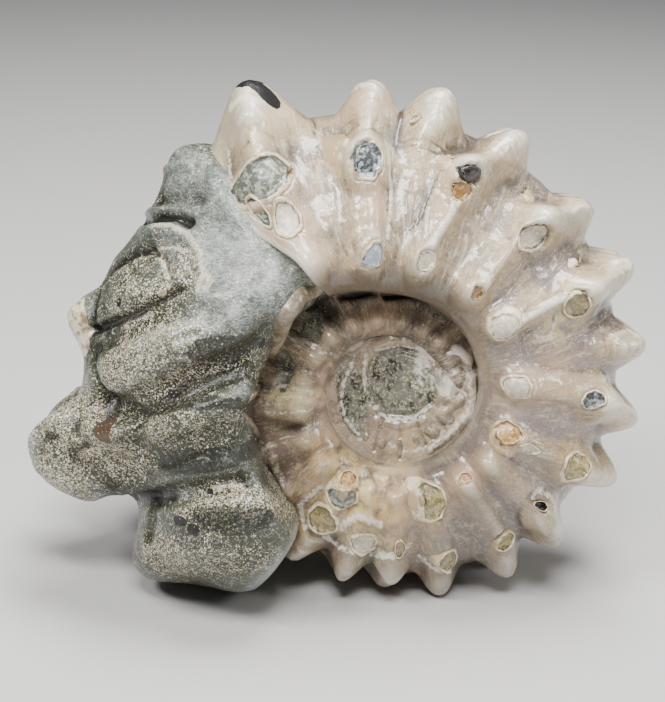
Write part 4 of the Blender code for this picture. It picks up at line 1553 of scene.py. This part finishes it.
# %% Place the scars and dent the shell
SCARS = (
    ("stone", (266, 172), 29, 22, 8, 1.3),
    ("stone", (259, 211), 17, 7.5, -52, 0.8),
    ("cream", (287, 218), 17, 14, -70, 0.7),
    ("crystal", (372, 159), 18, 14, 90, 1.0),
    ("pearl", (376, 255), 13, 9, 90, 0.4),
    ("jet", (476, 175), 14, 9, -30, 0.9),
    ("amber", (463, 190), 10, 9, -20, 0.5),
    ("cream", (415, 119), 5, 4.5, 0, 0.3),
    ("cream", (429, 262), 10, 9, 60, 0.3),
    ("cream", (537, 240), 16, 14, 30, 0.7),
    ("amber", (479, 295), 7, 6, 0, 0.4),
    ("olive", (578, 307), 16, 12, 100, 0.7),
    ("cream", (506, 330), 16, 13, 15, 0.5),
    ("crystal", (594, 400), 11, 9, 0, 0.6),
    ("cream", (516, 387), 14, 12, -20, 0.4),
    ("amber", (510, 432), 14, 12, -25, 0.5),
    ("cream", (529, 449), 11, 5, -15, 0.3),
    ("olive", (578, 467), 17, 12, 60, 0.3),
    ("olive", (504, 540), 11, 10, 0, 0.4),
    ("amber", (465, 478), 7, 6, 0, 0.3),
    ("jet", (541, 506), 7, 5, -20, 1.2),
    ("olive", (437, 503), 18, 12, 100, 0.8),
    ("olive", (448, 560), 14, 12, 0, 0.4),
    ("cream", (364, 544), 14, 13, 0, 0.4),
    ("olive", (321, 521), 18, 15, 40, 0.5),
    ("amber", (348, 478), 9, 9, 0, 0.5),
    ("stone", (343, 501), 14, 13, 0, 0.6),
    ("olive", (400, 549), 11, 6, 90, 0.3),
)
PATCH_REACH = 1.35
PATCH_RINGS = 30
PATCH_STEPS = 72
RIM_HEIGHT = 0.26
RIM_AT = 0.98
RIM_BREADTH = 0.15
CORE_WALL = (0.66, 0.94)
EDGE_DIVE = 2.2
DIVES_FROM = 1.06
BELOW_CORE = 1.0


def scar_patch(oval, deep):
    """Points, in coil millimetres, and the distance of each from the middle, for one scar."""
    turn = np.tile(np.arange(PATCH_STEPS) * (2.0 * math.pi / PATCH_STEPS), PATCH_RINGS + 1)
    out = np.repeat(np.linspace(0.0, PATCH_REACH, PATCH_RINGS + 1), PATCH_STEPS)
    across = oval.half[0] * out * oval.edge(turn) * np.cos(turn)
    along = oval.half[1] * out * oval.edge(turn) * np.sin(turn)
    height = level_at(oval, across, along, out)
    height += RIM_HEIGHT * np.exp(-((out - RIM_AT) / RIM_BREADTH) ** 2)
    height -= deep * (1.0 - eased(out, *CORE_WALL)) * (1.0 - 0.25 * out)
    height -= EDGE_DIVE * eased(out, DIVES_FROM, PATCH_REACH)
    points = oval.middle + across[:, None] * oval.long + along[:, None] * oval.short
    points = points + height[:, None] * oval.normal
    return list(points), list(out)


def ring_faces(first, rings, steps, side):
    """Faces between rings of points around a middle, turned over on the far flank."""
    faces = []
    for ring in range(rings):
        near, far = first + ring * steps, first + (ring + 1) * steps
        for step in range(steps):
            beside = (step + 1) % steps
            face = (near + step, far + step, far + beside, near + beside)
            faces.append(face if side > 0.0 else face[::-1])
    return faces


def mesh_piece(name, points, faces, material, masks=None):
    """A smooth piece from coil millimetres, whose faces point outwards. Doubled points are merged."""
    mesh = bpy.data.meshes.new(name)
    places = stand_points(points)
    places[:, 2] = np.maximum(places[:, 2], 0.0)
    mesh.from_pydata(places.tolist(), [], faces)
    for label, values in (masks or {}).items():
        put_mask(mesh, label, values)
    work = bmesh.new()
    work.from_mesh(mesh)
    bmesh.ops.remove_doubles(work, verts=work.verts, dist=MERGE * 0.1 * MM)
    work.to_mesh(mesh)
    work.free()
    mesh.materials.append(material)
    mesh.shade_smooth()
    return placed(name, mesh)


def place_scars(surface):
    """One piece for each kind of core. Dents the surface below the scars on both flanks."""
    found = [(kind, Oval(surface, pixel, across, along, tilt, seed), deep)
             for seed, (kind, pixel, across, along, tilt, deep) in enumerate(SCARS)]
    for kind, oval, deep in found:
        fit_dish(surface, oval)
    for kind, material in SCAR_FINISHES.items():
        points, outs, faces = [], [], []
        for own, oval, deep in found:
            if own != kind:
                continue
            patch, out = scar_patch(oval, deep)
            for side in (1.0, -1.0):
                faces += ring_faces(len(points), PATCH_RINGS, PATCH_STEPS, side)
                points += [place * [1.0, 1.0, side] for place in patch]
                outs += out
        keep(mesh_piece(kind + "_scars", np.array(points), faces, material, {"out": outs}))
    for kind, oval, deep in found:
        dent(surface, oval, deep + BELOW_CORE)


shell = Surface(last_whorl)
place_scars(shell)
shell.stain(SHELL_PATCHES)
# painted highlights along the crests
shell.draw("chalk", CREAM_CRESTS_AND_HIGHLIGHTS, wider=1.5, strength=0.75)
shell.draw("jet", ((CAP, 3.2),), strength=1.5)
# painted highlight round the black cap
shell.draw("chalk", ((CAP_HIGHLIGHT, 1.6),), strength=0.9)
shell.write(measure=False)
keep(last_whorl)
print(len(SCARS), "scars on each flank")

# %% [markdown]
# ## The filled umbilicus
#
# The narrow first whorls are hidden under stone and crystal that filled the middle of the coil. The filling
# is a shallow disc with a mottled round plug, a crescent of the same stone beside it, plates of nacre
# around them and chalky borders. The same surface tools carve and paint it, because every border is a line
# in the picture.

# %% Umbilical disc
DISC_EDGE = (
    (-270.0, 11.7), (-225.0, 12.6), (-180.0, 13.6), (-90.0, 16.0), (0.0, 18.5), (26.0, 18.0), (52.0, 13.8),
    (90.0, 11.7),
)
DISC_EDGE_BLUR = 9.0
DISC_LEVEL = 10.0
DISC_DOME = 0.4
DISC_TILT = 0.05
DISC_DROP = 6.0
DISC_DROPS_FROM = 0.955
DISC_RINGS = 150
DISC_STEPS = 300


def disc_radius(turn):
    """How far the disc reaches in a direction. It follows the seam, and so it is a turn of a spiral."""
    directions, reach = zip(*DISC_EDGE)
    around = np.degrees(turn) + np.array([-DISC_EDGE_BLUR, 0.0, DISC_EDGE_BLUR])
    return float(np.interp(around, directions, reach, period=360.0).mean())


def disc_piece(name, material):
    """A shallow dish on both flanks, whose edge drops into the coil."""
    turns = np.arange(DISC_STEPS) * (2.0 * math.pi / DISC_STEPS)
    reach = [disc_radius(turn) for turn in turns]
    points, faces = [], []
    for side in (1.0, -1.0):
        first = len(points)
        for ring in range(DISC_RINGS + 1):
            share = ring / DISC_RINGS
            drop = DISC_DROP * float(eased(share, DISC_DROPS_FROM, 1.0)) ** 2
            for turn, far in zip(turns, reach):
                across, up = far * share * math.cos(turn), far * share * math.sin(turn)
                rise = DISC_DOME * share ** 2 + DISC_TILT * across
                points.append((across, up, side * (DISC_LEVEL + rise - drop)))
        faces += ring_faces(first, DISC_RINGS, DISC_STEPS, side)
    return mesh_piece(name, np.array(points), faces, material)


umbilical_disc = disc_piece("umbilical_disc", nacre)
print("umbilical disc has", len(umbilical_disc.data.vertices), "points")

# %% [markdown]
# The first line below is the joint round the plug. The others are the joints and crusts of the plates
# around it.

# %% Carve and paint the disc
PLUG = (
    (401, 350), (424, 356), (434, 378), (430, 402), (412, 416),
    (388, 414), (371, 400), (367, 378), (376, 357), (401, 350))
DISC_STROKES = (
    (PLUG, -0.7, 1.1), (((366, 356), (364, 372), (366, 392)), 0.8, 1.0),
    (((352, 366), (343, 382), (341, 402), (347, 420), (358, 434)), 0.7, 1.0),
    (((376, 420), (400, 427), (424, 420)), 0.5, 1.2), (((374, 450), (378, 434), (382, 420)), -0.5, 0.8),
    (((400, 458), (401, 440), (402, 426)), -0.5, 0.8), (((428, 450), (423, 436), (418, 424)), -0.5, 0.8),
    (((446, 430), (438, 420), (430, 412)), -0.4, 0.8), (((418, 334), (424, 340), (432, 346)), 1.0, 1.8),
    (((440, 338), (443, 348), (441, 354)), 0.8, 1.6), (((442, 376), (450, 384), (448, 396)), 1.6, 2.2),
    (((454, 350), (462, 354), (468, 360)), 1.4, 1.8), (((434, 366), (438, 372)), 1.0, 1.6),
    (((456, 402), (462, 398)), 1.2, 1.6), (((444, 412), (450, 408)), 0.9, 1.4),
    (((376, 346), (390, 340), (404, 340)), 0.8, 1.6), (((352, 348), (360, 342)), 0.8, 1.6),
    (((470, 378), (471, 398), (468, 414), (452, 432), (430, 449)), 0.9, 1.4),
    (((404, 337), (408, 320), (409, 304)), 0.4, 0.5), (((436, 322), (430, 330), (424, 338)), -0.4, 0.8),
)
DISC_PATCHES = (
    ("rock", (401, 384), 32, 34, 0, 1.4), ("rock", (352, 398), 13, 34, 8, 1.3),
    ("rock", (438, 344), 8, 9, 0, 0.9), ("chalk", (428, 338), 14, 8, -20, 0.9),
    ("chalk", (460, 350), 12, 10, 0, 0.9), ("chalk", (449, 386), 13, 12, 0, 1.0),
    ("rock", (436, 380), 4, 12, 0, 1.0), ("plum", (410, 330), 22, 9, 0, 0.8),
    ("stain", (400, 442), 16, 10, 0, 0.6),
)
DISC_CHALK = (
    (((366, 352), (364, 372), (366, 394)), 1.1),
    (((352, 364), (343, 382), (340, 402), (346, 422), (360, 438)), 0.9),
    (((370, 404), (388, 418), (412, 420), (430, 406)), 0.8), (((404, 337), (408, 320), (409, 304)), 0.5),
    (((470, 376), (471, 398), (468, 414), (452, 432), (430, 449)), 1.3),
    (((376, 350), (400, 345), (422, 350)), 0.5), (((390, 444), (405, 452), (428, 449)), 0.9),
    (((436, 352), (446, 366), (440, 376)), 0.7),
)
middle = Surface(umbilical_disc)
for label, value in (("h", 0.5), ("bright", 1.0), ("relief", 1.2)):
    middle.paint(label, np.arange(len(middle.points)), value)
middle.carve(DISC_STROKES)
middle.stain(DISC_PATCHES)
middle.draw("chalk", DISC_CHALK, wider=1.1, strength=0.62)
middle.write()
keep(umbilical_disc)
print(len(DISC_STROKES), "joints and crusts on the disc")

# %% [markdown]
# ## The inner whorls that show
#
# Left of the disc a stretch of the whorl before last lies free, because the cast stands further out there.
# It keeps its ribs, small windows of stone and yellow crusts.

# %% Carve and paint the inner whorls
INNER_STROKES = (
    (((256, 400), (285, 397), (318, 400)), 1.6, 3.2), (((322, 356), (330, 358), (334, 392)), 0.7, 1.2),
    (((284, 356), (290, 370), (280, 386)), -0.8, 1.8), (((310, 303), (322, 300), (330, 312)), -1.2, 2.4),
    (((258, 420), (286, 428), (316, 436)), -0.6, 2.4), (((276, 330), (300, 340), (326, 350)), 0.6, 1.4),
    (((342, 296), (360, 293), (374, 292)), -1.2, 1.6), (((387, 294), (408, 293), (430, 295)), -1.3, 1.8),
    (((268, 446), (276, 470), (290, 494)), 0.7, 1.2),
)
# the bright patches take the painted shade of the umbilical wall away
INNER_PATCHES = (
    ("rock", (284, 370), 9, 16, 0, 1.2), ("rock", (316, 308), 9, 8, 0, 1.2),
    ("rock", (312, 330), 14, 14, 40, 0.9), ("jet", (358, 294), 16, 4, 5, 1.1),
    ("jet", (408, 294), 22, 4, 0, 1.2), ("rock", (440, 312), 16, 8, -20, 0.9),
    ("lemon", (292, 396), 20, 9, 0, 1.1), ("peach", (318, 398), 12, 9, 0, 1.2),
    ("peach", (326, 375), 12, 22, 0, 0.9), ("peach", (372, 320), 14, 18, 0, 0.8),
    ("peach", (330, 430), 12, 20, 0, 0.9), ("stain", (330, 452), 22, 16, 0, 1.0),
    ("plum", (282, 452), 20, 12, -20, 0.6), ("bright", (300, 400), 70, 90, 0, 0.9),
    ("bright", (388, 320), 70, 34, 0, 0.3), ("lemon", (340, 456), 18, 12, 30, 1.0),
    ("bright", (400, 440), 70, 30, 0, 0.8), ("chalk", (466, 392), 5, 24, 0, 1.0),
)
INNER_CHALK = (
    (((262, 391), (285, 386), (312, 391)), 0.55), (((262, 411), (286, 413), (310, 411)), 0.5),
    (((316, 354), (330, 352), (337, 360), (336, 392)), 0.5), (((266, 449), (273, 470), (284, 486)), 1.2),
    (((474, 372), (474, 398), (470, 416)), 1.0),
)
before_last = Surface(inner_whorls)
before_last.carve(INNER_STROKES)
before_last.stain(INNER_PATCHES)
before_last.draw("chalk", INNER_CHALK, wider=1.2, strength=0.55)
before_last.write()
keep(inner_whorls)
print(len(INNER_STROKES), "strokes on the inner whorls")

# %% [markdown]
# ## The lip along the umbilicus
#
# The broken shell leaves a rounded brown lip between the cast and the inner whorls. It runs down from the
# corner of the shell's edge and thins out to nothing. We sweep a flat oval along its line, and lay the line
# on the cast.

# %% Lips along lines
DARK_LIP = (0.13, 0.10, 0.065)
PALE_LIP = (0.34, 0.26, 0.175)
LIP_STEPS = 28
LIP_SINK = 0.45
STATIONS_BETWEEN_KNOTS = 12
LIP_VIEWER = (0.0, 0.15, 1.0)
LIP_END_POWER = 0.35
LIP_SMOOTHING = 4
UMBILICAL_LIP = (
    (320, 268, 5), (327, 278, 7), (316, 288, 9), (298, 295, 11), (284, 312, 11),
    (276, 335, 10), (267, 362, 7), (257, 386, 5), (248, 403, 2))
LOWER_LIP = ((243, 412, 2), (252, 427, 4), (264, 446, 4), (274, 462, 3), (283, 486, 2))
LIPS = (("umbilical_lip", UMBILICAL_LIP, 1.5), ("lower_lip", LOWER_LIP, 1.1))


def smooth_along(values):
    values[1:-1] = (values[:-2] + 2.0 * values[1:-1] + values[2:]) / 4.0


def lip_line(surface, knots):
    """Centres on the surface and half widths, through knots (x, y, half width) of the picture."""
    knots = np.array(knots, float)
    count = STATIONS_BETWEEN_KNOTS * (len(knots) - 1) + 1
    share = np.linspace(0.0, len(knots) - 1.0, count)
    x, y, half = (np.interp(share, range(len(knots)), knots[:, i]) for i in range(3))
    for values in (x, y, half):
        smooth_along(values)
    centres = np.array([surface.spot(pixel)[0] for pixel in zip(x, y)])
    for _ in range(LIP_SMOOTHING):
        smooth_along(centres)
    return centres, half


def swept_lip(name, surface, knots, height, material):
    """A flat oval swept along a line on the surface, and its mirrored twin on the far flank."""
    centres, half = lip_line(surface, knots)
    count = len(centres)
    along = np.gradient(centres, axis=0)
    points, faces = [], []
    for i in range(count):
        across = np.cross(along[i], LIP_VIEWER)
        across /= np.linalg.norm(across)
        up = np.cross(across, along[i])
        up /= np.linalg.norm(up)
        thin = math.sin(math.pi * min(max((i + 0.5) / count, 0.02), 0.98)) ** LIP_END_POWER
        for step in range(LIP_STEPS):
            turn = 2.0 * math.pi * step / LIP_STEPS
            flat = across * (half[i] * MM_PER_PIXEL * thin * math.cos(turn))
            points.append(centres[i] + flat + up * (height * thin * (math.sin(turn) - LIP_SINK)))
    for i in range(count - 1):
        for step in range(LIP_STEPS):
            near, beside = i * LIP_STEPS, (step + 1) % LIP_STEPS
            faces.append((near + step, near + beside, near + LIP_STEPS + beside, near + LIP_STEPS + step))
    faces.append(tuple(range(LIP_STEPS))[::-1])
    faces.append(tuple(range(len(points) - LIP_STEPS, len(points))))
    both = np.array(points + [place * [1.0, 1.0, -1.0] for place in points])
    mirrored = [tuple(corner + len(points) for corner in face[::-1]) for face in faces]
    return mesh_piece(name, both, faces + mirrored, material)


def lip_finish():
    material, nodes, shader, place = new_material("brown lip")
    cloud = noise(nodes, place, 0.3, 5.0, 0.6, 0.5)
    fine = noise(nodes, place, 1.4, 4.0, 0.6)
    colour = layer(nodes, DARK_LIP, PALE_LIP, eased(cloud + fine * 0.3, 0.50, 0.8))
    colour = layer(nodes, colour, CREAM, eased(fine + cloud * 0.3, 0.72, 0.9) * 0.6)
    height = (cloud - 0.5) * 0.5 + (fine - 0.5) * 0.12
    finish(nodes, shader, colour, 0.35, 1.0, 0.06, bumped(nodes, height), bumped(nodes, height * 0.6))
    return material


brown_lip = lip_finish()
solid = Surface(stone_cast)
for name, knots, height in LIPS:
    keep(swept_lip(name, solid, knots, height, brown_lip))
print(len(LIPS), "lips")

# %% [markdown]
# ## Studio
#
# A pale seamless floor shows the outline and its soft shadow. The lights are panels, because their square
# reflections on ribs and knobs are what makes a surface look wet. The surroundings stay fairly dark, so
# that they don't wash the colours of the polished coat out.

# %% Floor, panels and surroundings
FLOOR_SIZE = 3.0
FLOOR_COLOUR = (0.52, 0.51, 0.495)
FLOOR_ROUGHNESS = 0.75
PANELS = (
    ("ceiling panel", (0.10, 0.10, 0.70), (0.40, 0.24), 8.0),
    ("left panel", (-0.42, -0.28, 0.60), (0.20, 0.16), 4.2),
    ("small panel", (-0.12, -0.22, 0.50), (0.04, 0.04), 0.5),
    ("front panel", (0.02, -0.36, 0.64), (0.26, 0.15), 4.4),
    ("right panel", (0.60, -0.18, 0.42), (0.10, 0.18), 1.4),
)
AIM = Vector((0.0, 0.0, 0.045))
SURROUNDINGS = (0.80, 0.86, 0.95)
SURROUNDING_STRENGTH = 0.09


def pale_floor():
    material, nodes, shader, place = new_material("pale floor")
    shader.inputs["Base Color"].default_value = (*FLOOR_COLOUR, 1.0)
    shader.inputs["Roughness"].default_value = FLOOR_ROUGHNESS
    half = FLOOR_SIZE / 2.0
    mesh = bpy.data.meshes.new("floor")
    corners = [(-half, -half, 0.0), (half, -half, 0.0), (half, half, 0.0), (-half, half, 0.0)]
    mesh.from_pydata(corners, [], [(0, 1, 2, 3)])
    mesh.materials.append(material)
    floor = placed("floor", mesh)
    floor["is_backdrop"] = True


def light_panel(name, place, size, power):
    data = bpy.data.lights.new(name, "AREA")
    data.shape = "RECTANGLE"
    data.size, data.size_y = size
    data.energy = power
    panel = placed(name, data)
    panel.location = place
    panel.rotation_euler = (AIM - Vector(place)).to_track_quat("-Z", "Y").to_euler()


def surroundings():
    world = bpy.data.worlds.new("studio")
    world.use_nodes = True
    background = world.node_tree.nodes["Background"]
    background.inputs["Color"].default_value = (*SURROUNDINGS, 1.0)
    background.inputs["Strength"].default_value = SURROUNDING_STRENGTH
    bpy.context.scene.world = world


pale_floor()
for panel in PANELS:
    light_panel(*panel)
surroundings()
print(len(PANELS), "light panels")

# %% [markdown]
# ## The dressed size
#
# The dressed fossil has to stay as large as the solid. We keep both boxes, so that they can be compared.

# %% Sizes and end
dressed_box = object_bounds()
for axis, solid, dressed in zip("XYZ", cad_box[1] - cad_box[0], dressed_box[1] - dressed_box[0]):
    print(axis, "solid", round(solid / MM, 1), "mm, dressed", round(dressed / MM, 1), "mm")
